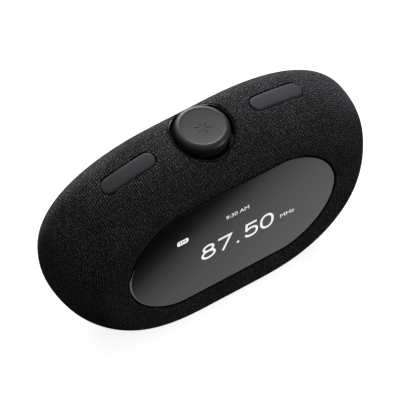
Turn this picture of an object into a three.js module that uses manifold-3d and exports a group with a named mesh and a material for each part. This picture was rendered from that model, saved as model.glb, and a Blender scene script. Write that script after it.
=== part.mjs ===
// Bedside smart speaker: a fabric-wrapped pebble with an oval display window in
// its front face, a press-and-turn knob in a round well on top, and two flush
// bar buttons beside it.
//
// Millimetres, +Z up, front towards -Y, long axis along X.
// Shapes are described from the waist, the level where the body is widest, and
// the whole group is then raised so that its foot stands on Z = 0.

import * as THREE from 'three';
import { mergeVertices } from 'three/addons/utils/BufferGeometryUtils.js';
import Module from 'manifold-3d';

const wasm = await Module();
wasm.setup();

// ---------------------------------------------------------------- dimensions

// Body of the speaker, measured from the middle of its waist.
const HALF_LENGTH = 100;
const STRAIGHT_HALF = 18;        // half of the middle stretch that has one section
const END_POWER = 2.15;          // how the two ends round off
const CROWN_RISE = 48.5;         // waist to crown
const KEEL_DROP = 64;            // waist to where the belly would close
const RISE_POWER = 2.15;
const FRONT_DEPTH = 49;
const FRONT_POWER = 2.35;
const BACK_DEPTH = 35;
const BACK_POWER = 2.25;
const BACK_FLARE = 0.009;        // the back grows deeper towards the base, per mm
const LEAN = 0.205;              // the section leans back as it rises
const BASE_DROP = 56;            // waist to the flat base
const BODY_SHIFT_Y = 1.35;       // puts the middle of the whole object's box on Y = 0
const FOOT_HEIGHT = 1.5;

// Flat face that carries the display window.
const FACE_Y = -33.4;
const FACE_Z = -4.1;
const FACE_TILT = THREE.MathUtils.degToRad(6.4);
const FACE_PROUD = 0.4;          // fabric stands this far in front of the lens
const FACE_EASE = 3;             // how softly the flat face runs out into the body

// Layers of the wall, as depths below the outer surface.
const FABRIC_THICKNESS = 1.2;
const SHELL_OUTSIDE = 1.5;
const SHELL_INSIDE = 4.5;
const COVER_PLANE_Y = 19;        // the rear cover parts from the front shell here
const GAP = 0.3;                 // running and assembly clearance

// Display window, in the face's own plane.
const LENS_HALF_LENGTH = 66.7;
const LENS_HALF_HEIGHT = 34.2;
const LENS_FLAT_HALF = 31.8;
const LENS_END_POWER = 1.7;
const LENS_THICKNESS = 1.8;
const LENS_LEDGE = 3;            // width of the step that the lens is glued to
const LENS_SEAT = 2.9;           // depth of the step, for the lens, its seal and a gap
const PANEL_LENGTH = 96;
const PANEL_HEIGHT = 40;
const HOLDER_LENGTH = 126;
const HOLDER_HEIGHT = 60;
const BOARD_LENGTH = 104;
const BOARD_HEIGHT = 52;

// Knob on the crown.
const KNOB_Y = 1;
const WELL_RADIUS = 18.2;
const WELL_FLOOR = 41.2;
const CAP_RADIUS = 15.3;
const CAP_TOP = 51;
const CAP_BOTTOM = 42.4;
const SHAFT_RADIUS = 3;
const KNOB_TRAVEL = 0.8;

// Bar buttons beside the knob.
const BUTTON_X = 48.2;
const BUTTON_Y = 0.3;
const BUTTON_LENGTH = 33.7;
const BUTTON_WIDTH = 9.4;
const BUTTON_TRAVEL = 0.6;
const BUTTON_PROUD = 0.3;

// Key board under the crown.
const KEY_BOARD_TOP = 31;
const KEY_BOARD_LENGTH = 122;
const KEY_BOARD_WIDTH = 20;
const KEY_BOSS_X = 24.5;

// Loudspeaker drivers, one firing out of each end.
const DRIVER_X = 79;             // outer face of the baffle
const DRIVER_Y = -3;
const DRIVER_Z = -6;
const DRIVER_SIDES = 20;

// Sockets on the back.
const PORT_Z = -36;
const PORT_LENGTH = 46;
const PORT_HEIGHT = 15;

// Base.
const BASE_HALF_X = 61;
const BASE_HALF_Y = 27;
const BASE_Y = -10.3;
const HEM_MARGIN = 6.6;          // how far the fabric is turned in under the base
const TRAY_MARGIN = 7;
const TRAY_THICKNESS = 1.2;
const FOOT_MARGIN = 11;
const BASE_SCREWS = [[-38, -22], [38, -22], [-38, 2], [38, 2]];

// Screws and the bosses that take them.
const PILOT_RADIUS = 1.5;
const KEY_BOSS_RADIUS = 3;
const BASE_BOSS_RADIUS = 3.4;
const BASE_BOSS_HEIGHT = 7;
const HOLDER_BOSS_RADIUS = 3;
const COVER_BOSS_RADIUS = 3.2;
const HEAD_POCKET_RADIUS = 2.9;
const BASE_SCREW_LENGTH = 7;
const SMALL_SCREW_LENGTH = 6;    // for the display holder and the key board
const COVER_SCREW_LENGTH = 10;

const BIG = 400;                 // larger than the object, for half-space cutters
const ROUND = 24;                // sides of a round piece
const ROUND_SMALL = 12;          // sides of a boss or a screw hole

// ----------------------------------------------------------------- materials

const finish = (color, roughness, metalness = 0) =>
  new THREE.MeshStandardMaterial({ color, roughness, metalness });

const FINISH = {
  fabric: finish(0x2c2e31, 0.95),
  shell: finish(0x1b1c1e, 0.6),
  lens: finish(0x0c0d0e, 0.08),
  well: finish(0x08080a, 0.15),
  knob: finish(0x4e5053, 0.5),
  button: finish(0x3d3f43, 0.6),
  rubber: finish(0x151515, 0.9),
  board: finish(0x16422c, 0.6),
  steel: finish(0xa9abad, 0.35, 0.9),
  darkMetal: finish(0x3a3b3d, 0.4, 0.8),
  black: finish(0x121213, 0.5),
  white: finish(0xe6e6e2, 0.7),
  cone: finish(0x1f1f20, 0.85),
  copper: finish(0xb06a3b, 0.4, 0.8),
};

// ------------------------------------------------------------ solid geometry

// One closed surface: shared vertices are joined and collapsed faces dropped.
function weld(geometry) {
  const bare = geometry.clone();
  bare.deleteAttribute('normal');
  bare.deleteAttribute('uv');
  const merged = mergeVertices(bare, 1e-4);
  const index = merged.index.array;
  const kept = [];
  for (let i = 0; i < index.length; i += 3) {
    const [a, b, c] = [index[i], index[i + 1], index[i + 2]];
    if (a !== b && b !== c && c !== a) kept.push(a, b, c);
  }
  merged.setIndex(kept);
  return merged;
}

function solid(geometry) {
  const closed = weld(geometry);
  return new wasm.Manifold(new wasm.Mesh({
    numProp: 3,
    vertProperties: new Float32Array(closed.attributes.position.array),
    triVerts: new Uint32Array(closed.index.array),
  }));
}

function geometryOf(manifold) {
  const mesh = manifold.getMesh();
  const geometry = new THREE.BufferGeometry();
  geometry.setAttribute('position', new THREE.BufferAttribute(mesh.vertProperties, 3));
  geometry.setIndex(new THREE.BufferAttribute(mesh.triVerts, 1));
  return geometry;
}

const subtractAll = (body, cutters) =>
  cutters.reduce((rest, cutter) => rest.subtract(cutter), body);
const addAll = (body, pieces) => pieces.reduce((sum, piece) => sum.add(piece), body);

function box(lengthX, lengthY, lengthZ, x = 0, y = 0, z = 0) {
  return new THREE.BoxGeometry(lengthX, lengthY, lengthZ).translate(x, y, z);
}

// A round bar along Z from level low to level high.
function bar(radius, low, high, x = 0, y = 0, sides = ROUND) {
  const geometry = new THREE.CylinderGeometry(radius, radius, high - low, sides);
  return geometry.rotateX(Math.PI / 2).translate(x, y, (low + high) / 2);
}

// A turned piece about Z. The profile runs anticlockwise: radius to the right, height up.
function turned(profile, sides = ROUND) {
  const points = profile.map(([radius, height]) => new THREE.Vector2(radius, height));
  return new THREE.LatheGeometry(points, sides).rotateX(Math.PI / 2);
}

function plate(shape, low, high, curveSegments = 6) {
  const options = { depth: high - low, bevelEnabled: false, curveSegments };
  return new THREE.ExtrudeGeometry(shape, options).translate(0, 0, low);
}

// A bar with round ends, lying along X.
function pillShape(length, width) {
  const radius = width / 2;
  const half = length / 2 - radius;
  const shape = new THREE.Shape();
  shape.absarc(half, 0, radius, -Math.PI / 2, Math.PI / 2);
  shape.absarc(-half, 0, radius, Math.PI / 2, Math.PI * 1.5);
  return shape;
}

function roundedRectangle(length, height, radius) {
  const x = length / 2 - radius;
  const y = height / 2 - radius;
  const shape = new THREE.Shape();
  shape.absarc(x, y, radius, 0, Math.PI / 2);
  shape.absarc(-x, y, radius, Math.PI / 2, Math.PI);
  shape.absarc(-x, -y, radius, Math.PI, Math.PI * 1.5);
  shape.absarc(x, -y, radius, Math.PI * 1.5, Math.PI * 2);
  return shape;
}

// |u/halfU|^powerU + |v/halfV|^powerV = 1, with a straight middle stretch along u.
function ovalShape(halfU, halfV, flatHalf, powerU, powerV, count = 40) {
  const points = [];
  for (let i = 0; i < count; i += 1) {
    const angle = ((i + 0.5) / count) * Math.PI * 2;
    const u = Math.sign(Math.cos(angle)) * Math.abs(Math.cos(angle)) ** (2 / powerU);
    const v = Math.sign(Math.sin(angle)) * Math.abs(Math.sin(angle)) ** (2 / powerV);
    points.push(new THREE.Vector2(Math.sign(u) * flatHalf + u * (halfU - flatHalf), v * halfV));
  }
  return new THREE.Shape(points);
}

const lensShape = (grow) => ovalShape(
  LENS_HALF_LENGTH + grow, LENS_HALF_HEIGHT + grow, LENS_FLAT_HALF, LENS_END_POWER, 2);

const baseShape = (margin) => ovalShape(
  BASE_HALF_X - margin, BASE_HALF_Y - margin, 0, END_POWER, RISE_POWER);

// ------------------------------------------------------------- body surface

// Where the flat face would be at a height, and the easing that runs it out.
const facePlane = (z) => FACE_Y - FACE_PROUD + Math.tan(FACE_TILT) * (z - FACE_Z);
const easedMax = (a, b) => (a + b + Math.hypot(a - b, FACE_EASE)) / 2;

// A point of the outer surface. swell runs from 0 at either end's tip to 1 on
// the straight middle, and turn goes round the section.
function surfacePoint(side, along, turn) {
  const swell = Math.sin(along) ** 2.3;
  const reach = (1 - swell) ** (1 / END_POWER);
  const x = side * (STRAIGHT_HALF + (HALF_LENGTH - STRAIGHT_HALF) * reach);
  const cosine = Math.cos(turn);
  const sine = Math.sin(turn);
  const front = cosine < 0;
  const power = front ? FRONT_POWER : BACK_POWER;
  const across = Math.sign(cosine) * Math.abs(cosine) ** (2 / power);
  const up = Math.sign(sine) * Math.abs(sine) ** (2 / RISE_POWER);
  const z = (sine > 0 ? CROWN_RISE : KEEL_DROP) * up * swell ** (1 / RISE_POWER);
  const depth = front ? FRONT_DEPTH : BACK_DEPTH * (1 - BACK_FLARE * z);
  const y = depth * across * swell ** (1 / power) + LEAN * z;
  return new THREE.Vector3(x, front ? easedMax(y, facePlane(z)) : y, z);
}

const INSET_STEP = 0.01;         // radians between the points that a slope is taken from

// The same point moved inwards, square to the surface.
function insetPoint(side, along, turn, inset) {
  const point = surfacePoint(side, along, turn);
  const lengthwise = surfacePoint(side, along + INSET_STEP, turn)
    .sub(surfacePoint(side, along - INSET_STEP, turn));
  const around = surfacePoint(side, along, turn + INSET_STEP)
    .sub(surfacePoint(side, along, turn - INSET_STEP));
  const normal = lengthwise.cross(around).normalize().multiplyScalar(side);
  return point.addScaledVector(normal, -inset);
}

const SECTIONS = 7;              // sections between a tip and the straight middle
const TURNS = 28;                // points round a section

// The whole body, closed at its keel, with its surface moved in by inset.
function bodyGeometry(inset) {
  const positions = [-(HALF_LENGTH - inset), 0, 0];
  const rings = [];
  for (let i = 1; i <= SECTIONS; i += 1) rings.push([-1, i]);
  for (let i = SECTIONS; i >= 1; i -= 1) rings.push([1, i]);
  for (const [side, i] of rings) {
    const along = (i / SECTIONS) * Math.PI / 2 - INSET_STEP;
    for (let j = 0; j < TURNS; j += 1) {
      const turn = ((j + 0.5) / TURNS) * Math.PI * 2;
      positions.push(...insetPoint(side, along, turn, inset).toArray());
    }
  }
  positions.push(HALF_LENGTH - inset, 0, 0);
  const tip = positions.length / 3 - 1;
  const indices = [];
  for (let j = 0; j < TURNS; j += 1) {
    const next = (j + 1) % TURNS;
    indices.push(0, 1 + next, 1 + j);
    for (let ring = 0; ring < rings.length - 1; ring += 1) {
      const here = 1 + ring * TURNS;
      const beyond = here + TURNS;
      indices.push(here + j, here + next, beyond + j, here + next, beyond + next, beyond + j);
    }
    const last = 1 + (rings.length - 1) * TURNS;
    indices.push(tip, last + j, last + next);
  }
  const geometry = new THREE.BufferGeometry();
  geometry.setAttribute('position', new THREE.Float32BufferAttribute(positions, 3));
  geometry.setIndex(indices);
  return geometry;
}

// The body as it stands: cut flat at the base, which moves in by the same inset.
function body(inset) {
  const above = solid(box(BIG, BIG, BIG, 0, 0, BIG / 2 - BASE_DROP + inset));
  return solid(bodyGeometry(inset)).intersect(above);
}

const wall = (outside, inside) => body(outside).subtract(body(inside));

// The height of the crown over a point of the plan.
function crownHeight(x, y) {
  const past = Math.max(0, (Math.abs(x) - STRAIGHT_HALF) / (HALF_LENGTH - STRAIGHT_HALF));
  let z = CROWN_RISE;
  for (let i = 0; i < 30; i += 1) {
    const lean = y - LEAN * z;
    const depth = lean < 0 ? FRONT_DEPTH : BACK_DEPTH * (1 - BACK_FLARE * z);
    const power = lean < 0 ? FRONT_POWER : BACK_POWER;
    const left = Math.max(0, 1 - past ** END_POWER - Math.abs(lean / depth) ** power);
    z = (z + CROWN_RISE * left ** (1 / RISE_POWER)) / 2;
  }
  return z;
}

// How far back the body reaches at a height on its middle stretch.
function backReach(z, inset) {
  const rise = Math.abs(z / (z > 0 ? CROWN_RISE : KEEL_DROP)) ** RISE_POWER;
  const depth = BACK_DEPTH * (1 - BACK_FLARE * z);
  return depth * (1 - rise) ** (1 / BACK_POWER) + LEAN * z - inset;
}

// --------------------------------------------------------------- the groups

const speaker = new THREE.Group();
speaker.position.set(0, BODY_SHIFT_Y, BASE_DROP + FOOT_HEIGHT);

const face = new THREE.Group();  // lies in the lens's front plane, Z outwards
face.position.set(0, FACE_Y, FACE_Z);
face.rotation.x = Math.PI / 2 - FACE_TILT;
speaker.add(face);
face.updateMatrix();

const knob = new THREE.Group();
knob.position.set(0, KNOB_Y, 0);
speaker.add(knob);

function place(name, geometry, material, parent = speaker) {
  const mesh = new THREE.Mesh(weld(geometry), material);
  mesh.name = name;
  parent.add(mesh);
  return mesh;
}

const onFace = (geometry) => geometry.clone().applyMatrix4(face.matrix);

// ------------------------------------------------------ openings in the wall

const buttonSpots = [['left', -BUTTON_X], ['right', BUTTON_X]];

function buttonBar(length, width, low, high, x) {
  return plate(pillShape(length, width), low, high).translate(x, BUTTON_Y, 0);
}

const TOP_CUT = CROWN_RISE + 10;
const lensCut = solid(onFace(plate(lensShape(GAP), -LENS_SEAT, 20)));
const wellCut = solid(bar(WELL_RADIUS + GAP, 20, TOP_CUT, 0, KNOB_Y));
const buttonCuts = buttonSpots.map(([, x]) =>
  solid(buttonBar(BUTTON_LENGTH, BUTTON_WIDTH, 25, TOP_CUT, x)));
const portCut = (grow) => solid(plate(
  roundedRectangle(PORT_LENGTH + grow, PORT_HEIGHT + grow, 3), 0, BIG)
  .rotateX(-Math.PI / 2).translate(0, 10, PORT_Z));

// ----------------------------------------------------------------- exterior

function makeFabricSleeve() {
  const hem = solid(plate(baseShape(HEM_MARGIN), -BASE_DROP - 10, -BASE_DROP + 5)
    .translate(0, BASE_Y, 0));
  const openings = [lensCut, wellCut, ...buttonCuts, portCut(0), hem];
  const sleeve = subtractAll(wall(0, FABRIC_THICKNESS), openings);
  place('fabric_sleeve', geometryOf(sleeve), FINISH.fabric);
}

const screwHole = (low, high, x, y) => solid(bar(PILOT_RADIUS, low, high, x, y, ROUND_SMALL));

// Bosses that hang from the crown for the key board's screws.
function keyBosses() {
  return [-KEY_BOSS_X, KEY_BOSS_X].map((x) => {
    const top = crownHeight(x, KNOB_Y) - SHELL_INSIDE + 1;
    return solid(bar(KEY_BOSS_RADIUS, KEY_BOARD_TOP + GAP, top, x, KNOB_Y, ROUND_SMALL));
  });
}

// Bosses that stand on the shell's floor for the base screws.
function baseBosses() {
  const floor = -BASE_DROP + SHELL_INSIDE;
  return BASE_SCREWS.map(([x, y]) =>
    solid(bar(BASE_BOSS_RADIUS, floor - 1, floor + BASE_BOSS_HEIGHT, x, y, ROUND_SMALL)));
}

const HOLDER_SCREWS = [[-57, 26], [57, 26], [-57, -25], [57, -25]];
const HOLDER_FRONT = -9.2;       // front side of the display holder's plate
const HOLDER_BACK = -11.2;
const FACE_INSIDE = -3.4;        // the holder's bosses start inside the shell's wall here

// Bosses behind the face's corners for the display holder.
function holderBosses() {
  return HOLDER_SCREWS.map(([u, v]) =>
    solid(onFace(bar(HOLDER_BOSS_RADIUS, HOLDER_FRONT + GAP, FACE_INSIDE, u, v, ROUND_SMALL))));
}

const COVER_SCREW_X = 42;
const COVER_SCREW_Z = 29;
const COVER_BOSS_Y = 12.5;
// The under-side of the rear cover's screw heads, sunk below the fabric.
const COVER_HEAD_Y = backReach(COVER_SCREW_Z, SHELL_OUTSIDE) - 3.2;

function alongY(geometry, x, z) {
  return geometry.rotateX(-Math.PI / 2).translate(x, 0, z);
}

// Bosses for the rear cover's screws, each hung from the crown by a web.
function coverBosses() {
  const length = COVER_PLANE_Y - COVER_BOSS_Y;
  return [-COVER_SCREW_X, COVER_SCREW_X].map((x) => {
    const post = bar(COVER_BOSS_RADIUS, COVER_BOSS_Y, COVER_PLANE_Y, 0, 0, ROUND_SMALL);
    const boss = solid(alongY(post, x, COVER_SCREW_Z));
    const web = solid(box(2.4, length, 16, x, COVER_BOSS_Y + length / 2, COVER_SCREW_Z + 10));
    return boss.add(web.intersect(body(SHELL_OUTSIDE + 1)));
  });
}

// Slots in each end of the shell that let the driver's sound out.
function soundSlots() {
  const slots = [];
  for (const side of [-1, 1]) {
    for (let i = -1; i <= 1; i += 1) {
      const length = 26 - 5 * Math.abs(i);
      slots.push(solid(box(24, length, 3, side * 96, DRIVER_Y, DRIVER_Z + i * 9)));
    }
  }
  return slots;
}

function makeShell() {
  const whole = addAll(wall(SHELL_OUTSIDE, SHELL_INSIDE),
    [...keyBosses(), ...baseBosses(), ...holderBosses(), ...coverBosses()]);
  const inFront = solid(box(BIG, BIG, BIG, 0, COVER_PLANE_Y - GAP / 2 - BIG / 2, 0));
  const behind = solid(box(BIG, BIG, BIG, 0, COVER_PLANE_Y + GAP / 2 + BIG / 2, 0));
  const window = solid(onFace(plate(lensShape(-LENS_LEDGE), -8, 20)));
  const keyHoles = [-KEY_BOSS_X, KEY_BOSS_X].map((x) =>
    screwHole(KEY_BOARD_TOP, KEY_BOARD_TOP + 8, x, KNOB_Y));
  const baseHoles = BASE_SCREWS.map(([x, y]) => screwHole(-BASE_DROP, -BASE_DROP + 9, x, y));
  const holderHoles = HOLDER_SCREWS.map(([u, v]) =>
    solid(onFace(bar(PILOT_RADIUS, HOLDER_FRONT, FACE_INSIDE - 1.4, u, v, ROUND_SMALL))));
  const coverHoles = [-COVER_SCREW_X, COVER_SCREW_X].map((x) =>
    solid(alongY(bar(PILOT_RADIUS, 10, 40, 0, 0, ROUND_SMALL), x, COVER_SCREW_Z)));
  const headPockets = [-COVER_SCREW_X, COVER_SCREW_X].map((x) =>
    solid(alongY(bar(HEAD_POCKET_RADIUS, COVER_HEAD_Y - GAP, 50, 0, 0, 16), x, COVER_SCREW_Z)));
  const shell = subtractAll(whole, [
    lensCut, window, wellCut, ...buttonCuts, ...soundSlots(),
    ...keyHoles, ...baseHoles, ...holderHoles, ...coverHoles, ...headPockets]);
  place('front_shell', geometryOf(shell.intersect(inFront)), FINISH.shell);
  place('rear_cover', geometryOf(shell.intersect(behind).subtract(portCut(0))), FINISH.shell);
}

function makeBase() {
  const low = -BASE_DROP;
  const outline = baseShape(TRAY_MARGIN);
  const holes = BASE_SCREWS.map(([x, y]) => screwHole(low - 1, low + 3, x, y - BASE_Y));
  const tray = subtractAll(solid(plate(outline, low, low + TRAY_THICKNESS)), holes);
  place('base_plate', geometryOf(tray), FINISH.shell).position.y = BASE_Y;
  const pockets = BASE_SCREWS.map(([x, y]) =>
    solid(bar(BASE_BOSS_RADIUS - 0.2, low - 2, low + 1, x, y - BASE_Y, 16)));
  const rubber = solid(plate(baseShape(FOOT_MARGIN), low - FOOT_HEIGHT, low - GAP));
  const pad = subtractAll(rubber, pockets);
  place('foot_pad', geometryOf(pad), FINISH.rubber).position.y = BASE_Y;
}

// ------------------------------------------------------------------- screws

// A pan-head screw standing on its tip, the head's under-side at Z = 0.
function screwGeometry(length) {
  return turned([[0, -length], [1.1, -length], [1.1, 0], [2.4, 0], [2.4, 0.9], [0, 1.3]], 10);
}

function makeScrews() {
  BASE_SCREWS.forEach(([x, y], i) => {
    const screw = place(`base_screw_${i + 1}`, screwGeometry(BASE_SCREW_LENGTH), FINISH.steel);
    screw.rotation.x = Math.PI;
    screw.position.set(x, y, -BASE_DROP - GAP / 3);
  });
  HOLDER_SCREWS.forEach(([u, v], i) => {
    const geometry = screwGeometry(SMALL_SCREW_LENGTH);
    const screw = place(`holder_screw_${i + 1}`, geometry, FINISH.steel, face);
    screw.rotation.x = Math.PI;
    screw.position.set(u, v, HOLDER_BACK - GAP);
  });
  [-COVER_SCREW_X, COVER_SCREW_X].forEach((x, i) => {
    const screw = place(`cover_screw_${i + 1}`, screwGeometry(COVER_SCREW_LENGTH), FINISH.steel);
    screw.rotation.x = -Math.PI / 2;
    screw.position.set(x, COVER_HEAD_Y, COVER_SCREW_Z);
  });
  [-KEY_BOSS_X, KEY_BOSS_X].forEach((x, i) => {
    const geometry = screwGeometry(SMALL_SCREW_LENGTH);
    const screw = place(`key_board_screw_${i + 1}`, geometry, FINISH.steel);
    screw.rotation.x = Math.PI;
    screw.position.set(x, KNOB_Y, KEY_BOARD_TOP - 1.2 - GAP);
  });
}

// ------------------------------------------------------------------ display

function makeDisplay() {
  place('display_lens', plate(lensShape(-0.1), -LENS_THICKNESS, 0), FINISH.lens, face);
  const seal = solid(plate(lensShape(-0.4), -LENS_THICKNESS - 0.8, -LENS_THICKNESS - GAP));
  const inner = solid(plate(lensShape(-LENS_LEDGE), -8, 2));
  place('lens_seal', geometryOf(seal.subtract(inner)), FINISH.rubber, face);
  place('display_diffuser', box(PANEL_LENGTH, PANEL_HEIGHT, 0.8, 0, 0, -3.6), FINISH.white, face);
  place('display_panel', box(PANEL_LENGTH, PANEL_HEIGHT, 2.4, 0, 0, -5.6), FINISH.black, face);
  const frame = roundedRectangle(PANEL_LENGTH + 6, PANEL_HEIGHT + 6, 2);
  const tray = solid(plate(frame, HOLDER_FRONT - 0.5, -4.6));
  const pocket = solid(box(PANEL_LENGTH + 1.2, PANEL_HEIGHT + 1.2, 10, 0, 0, -2.4));
  const cable = solid(box(22, 3, 20, 0, -14, -10));
  const holes = HOLDER_SCREWS.map(([u, v]) => screwHole(-20, 0, u, v));
  const outline = roundedRectangle(HOLDER_LENGTH, HOLDER_HEIGHT, 9);
  const back = solid(plate(outline, HOLDER_BACK, HOLDER_FRONT));
  const holder = subtractAll(back.add(tray), [pocket, cable, ...holes]);
  place('display_holder', geometryOf(holder), FINISH.black, face);
  const ribbon = new THREE.Shape([[-7.2, -16], [-7.2, -15], [-15.1, -15], [-15.1, -12], [-14.8, -12],
    [-14.8, -14.7], [-6.9, -14.7], [-6.9, -16]].map(([n, v]) => new THREE.Vector2(-n, v)));
  const strip = new THREE.ExtrudeGeometry(ribbon, { depth: 18, bevelEnabled: false });
  place('display_ribbon', strip.rotateY(Math.PI / 2).translate(-9, 0, 0), FINISH.copper, face);
}

// --------------------------------------------------------------- main board

function makeMainBoard() {
  const top = -17;                 // the side of the board that faces the rear
  place('main_board', box(BOARD_LENGTH, BOARD_HEIGHT, 1.6, 0, 0, top + 0.8), FINISH.board, face);
  const part = (name, geometry, material, u, v) =>
    place(name, geometry, material, face).position.set(u, v, top - GAP);
  part('processor_shield', box(30, 24, 3, 0, 0, -1.5), FINISH.steel, -2, 6);
  part('tuner_shield', box(18, 16, 3.4, 0, 0, -1.7), FINISH.steel, 30, 12);
  part('amplifier_chip', box(12, 12, 1.6, 0, 0, -0.8), FINISH.black, 34, -12);
  part('capacitor_1', bar(4, -11, 0, 0, 0, 16), FINISH.darkMetal, -42, -16);
  part('capacitor_2', bar(4, -11, 0, 0, 0, 16), FINISH.darkMetal, -30, -16);
  part('clock_cell', bar(10, -3.2, -GAP, 0, 0, 24), FINISH.steel, -36, 10);
}

// --------------------------------------------------------- knob and encoder

function makeKnob() {
  const floor = WELL_FLOOR;
  const inside = WELL_RADIUS - 0.9;
  const rim = CROWN_RISE + 2;
  const well = solid(turned([[3.6, floor - 1.6], [WELL_RADIUS, floor - 1.6], [WELL_RADIUS, rim],
    [inside, rim], [inside, floor], [3.6, floor], [3.6, floor - 1.6]], 32)
    .translate(0, KNOB_Y, 0));
  place('knob_well', geometryOf(well.intersect(body(0.1))), FINISH.well);

  place('knob_cap', turned([[0, CAP_TOP - 2.2], [3.3, CAP_TOP - 2.2], [3.3, CAP_BOTTOM + 0.4],
    [5.2, CAP_BOTTOM + 0.4], [5.2, CAP_TOP - 2.2], [13.2, CAP_TOP - 2.8], [13.4, CAP_BOTTOM],
    [CAP_RADIUS, CAP_BOTTOM], [CAP_RADIUS, CAP_TOP - 2], [CAP_RADIUS - 0.6, CAP_TOP - 0.6],
    [CAP_RADIUS - 2, CAP_TOP], [0, CAP_TOP]], 32), FINISH.knob, knob);
  const shaftTop = CAP_TOP - 3;
  place('knob_shaft', turned([[0, 36.2], [SHAFT_RADIUS, 36.2], [SHAFT_RADIUS, shaftTop],
    [0, shaftTop]], 20), FINISH.steel, knob);

  const carrierLow = 34.9;
  place('knob_carrier', turned([[0, carrierLow], [4.6, carrierLow], [4.6, 39], [3.3, 39],
    [3.3, 35.9], [0, 35.9]], 20), FINISH.black, knob);
  const switchTop = carrierLow - KNOB_TRAVEL - 0.2;
  place('knob_switch', bar(2.6, 33.3, switchTop, 0, 0, 16), FINISH.steel, knob);
  const bore = solid(bar(4.9, 33, 60, 0, 0, 20));
  const housing = solid(box(12.4, 12.4, 6.6, 0, 0, KEY_BOARD_TOP + GAP + 3.3));
  place('encoder_body', geometryOf(housing.subtract(bore)), FINISH.darkMetal, knob);
}

// ------------------------------------------------- buttons and key board

function makeButtons() {
  const padLayer = body(-BUTTON_PROUD).subtract(body(6));
  const flangeLayer = body(5).subtract(body(6.2));
  const layerOf = (grow, x, layer) =>
    solid(buttonBar(BUTTON_LENGTH + grow, BUTTON_WIDTH + grow, 30, TOP_CUT, x)).intersect(layer);
  for (const [side, x] of buttonSpots) {
    const pad = layerOf(-2 * GAP, x, padLayer);
    const flange = layerOf(3, x, flangeLayer);
    const under = crownHeight(x, BUTTON_Y) - 5.6;
    const stem = solid(bar(1.8, KEY_BOARD_TOP + 5.1, under, x, BUTTON_Y, 16));
    place(`${side}_button`, geometryOf(addAll(pad, [flange, stem])), FINISH.button);
    const base = solid(box(6.2, 6.2, 2.8, x, BUTTON_Y, KEY_BOARD_TOP + GAP + 1.4));
    const tipTop = KEY_BOARD_TOP + 5.1 - BUTTON_TRAVEL - 0.3;
    const tip = solid(bar(1.6, KEY_BOARD_TOP + 2, tipTop, x, BUTTON_Y, 16));
    place(`${side}_switch`, geometryOf(base.add(tip)), FINISH.steel);
  }
  const holes = [-KEY_BOSS_X, KEY_BOSS_X].map((x) => screwHole(20, 40, x, 0));
  const board = solid(box(KEY_BOARD_LENGTH, KEY_BOARD_WIDTH, 1.2, 0, 0, KEY_BOARD_TOP - 0.6));
  place('key_board', geometryOf(subtractAll(board, holes)), FINISH.board).position.y = KNOB_Y;
}

// ------------------------------------------------------------------ drivers

// Each driver's pieces are turned about the axis that points out of its end.
function makeDriver(side, direction) {
  const slab = solid(box(2, BIG, BIG, direction * (DRIVER_X - 1), 0, 0));
  const hole = solid(bar(18.6, -BIG, BIG, 0, 0, 32).rotateY(Math.PI / 2)
    .translate(0, DRIVER_Y, DRIVER_Z));
  const baffle = body(SHELL_INSIDE + GAP).intersect(slab).subtract(hole);
  place(`${side}_baffle`, geometryOf(baffle), FINISH.shell);

  const driver = new THREE.Group();
  driver.position.set(direction * DRIVER_X, DRIVER_Y, DRIVER_Z);
  driver.rotation.y = direction * Math.PI / 2;
  speaker.add(driver);
  const turn = (name, profile, material) =>
    place(`${side}_${name}`, turned(profile, DRIVER_SIDES), material, driver);
  turn('driver_frame', [[8, -14.2], [10.4, -14.2], [18.2, -4], [18.2, GAP], [21, GAP], [21, 1.4],
    [16.8, 1.4], [16.8, -3.6], [9.6, -13], [8, -13], [8, -14.2]], FINISH.darkMetal);
  turn('driver_magnet', [[0, -22.5], [12, -22.5], [12, -14.6], [7.6, -14.6], [7.6, -20.4],
    [5.5, -20.4], [5.5, -14.6], [0, -14.6]], FINISH.steel);
  turn('surround', [[15, 2.6], [15.4, 1.7], [20.4, 1.7], [20.4, 2.4], [18.2, 2.5], [17.4, 3.8],
    [16.2, 4], [15.3, 3.4], [15, 2.6]], FINISH.rubber);
  turn('cone', [[0, -6.4], [4.4, -7.2], [6.2, -9.4], [7.2, -9.4], [14.6, 1.4], [14.6, 2.4],
    [7, -7.6], [4.6, -6], [0, -5.2]], FINISH.cone);
  turn('voice_coil', [[6.1, -17.4], [7, -17.4], [7, -9.8], [6.1, -9.8], [6.1, -17.4]],
    FINISH.copper);
}

// --------------------------------------------------------------- back ports

function makePorts() {
  const rear = backReach(PORT_Z, 0);
  const sockets = [[-13, 9.4, 3.6], [6, 13.4, 5.8]];   // place along X, width, height
  const glandX = 18.5;
  const holes = sockets.map(([x, width, height]) => solid(box(width, 60, height, x, rear, PORT_Z)));
  const glandHole = solid(alongY(bar(2.6, 0, 80, 0, 0, 16), glandX, PORT_Z));
  const plateBody = portCut(-2 * GAP).intersect(body(0.6)).subtract(body(3.6));
  place('port_plate', geometryOf(subtractAll(plateBody, [...holes, glandHole])), FINISH.shell);

  const names = ['power_inlet', 'usb_socket'];
  sockets.forEach(([x, width, height], i) => {
    const outer = solid(box(width - 2 * GAP, 9, height - 2 * GAP, 0, 0, 0));
    const mouth = solid(box(width - 1.6, 8, height - 1.6, 0, 2, 0));
    const tongue = solid(box(width - 4, 6, Math.max(0.6, height - 4.2), 0, -0.5, 0));
    const socket = place(names[i], geometryOf(outer.subtract(mouth).add(tongue)), FINISH.steel);
    socket.position.set(x, rear - 6.2, PORT_Z);
  });
  const gland = turned([[0, -8], [2.3, -8], [2.3, 1], [1.5, 1], [1.1, -3], [0, -3]], 16);
  const plug = place('aerial_gland', alongY(gland, 0, 0), FINISH.rubber);
  plug.position.set(glandX, rear - 1.8, PORT_Z);
}

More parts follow.
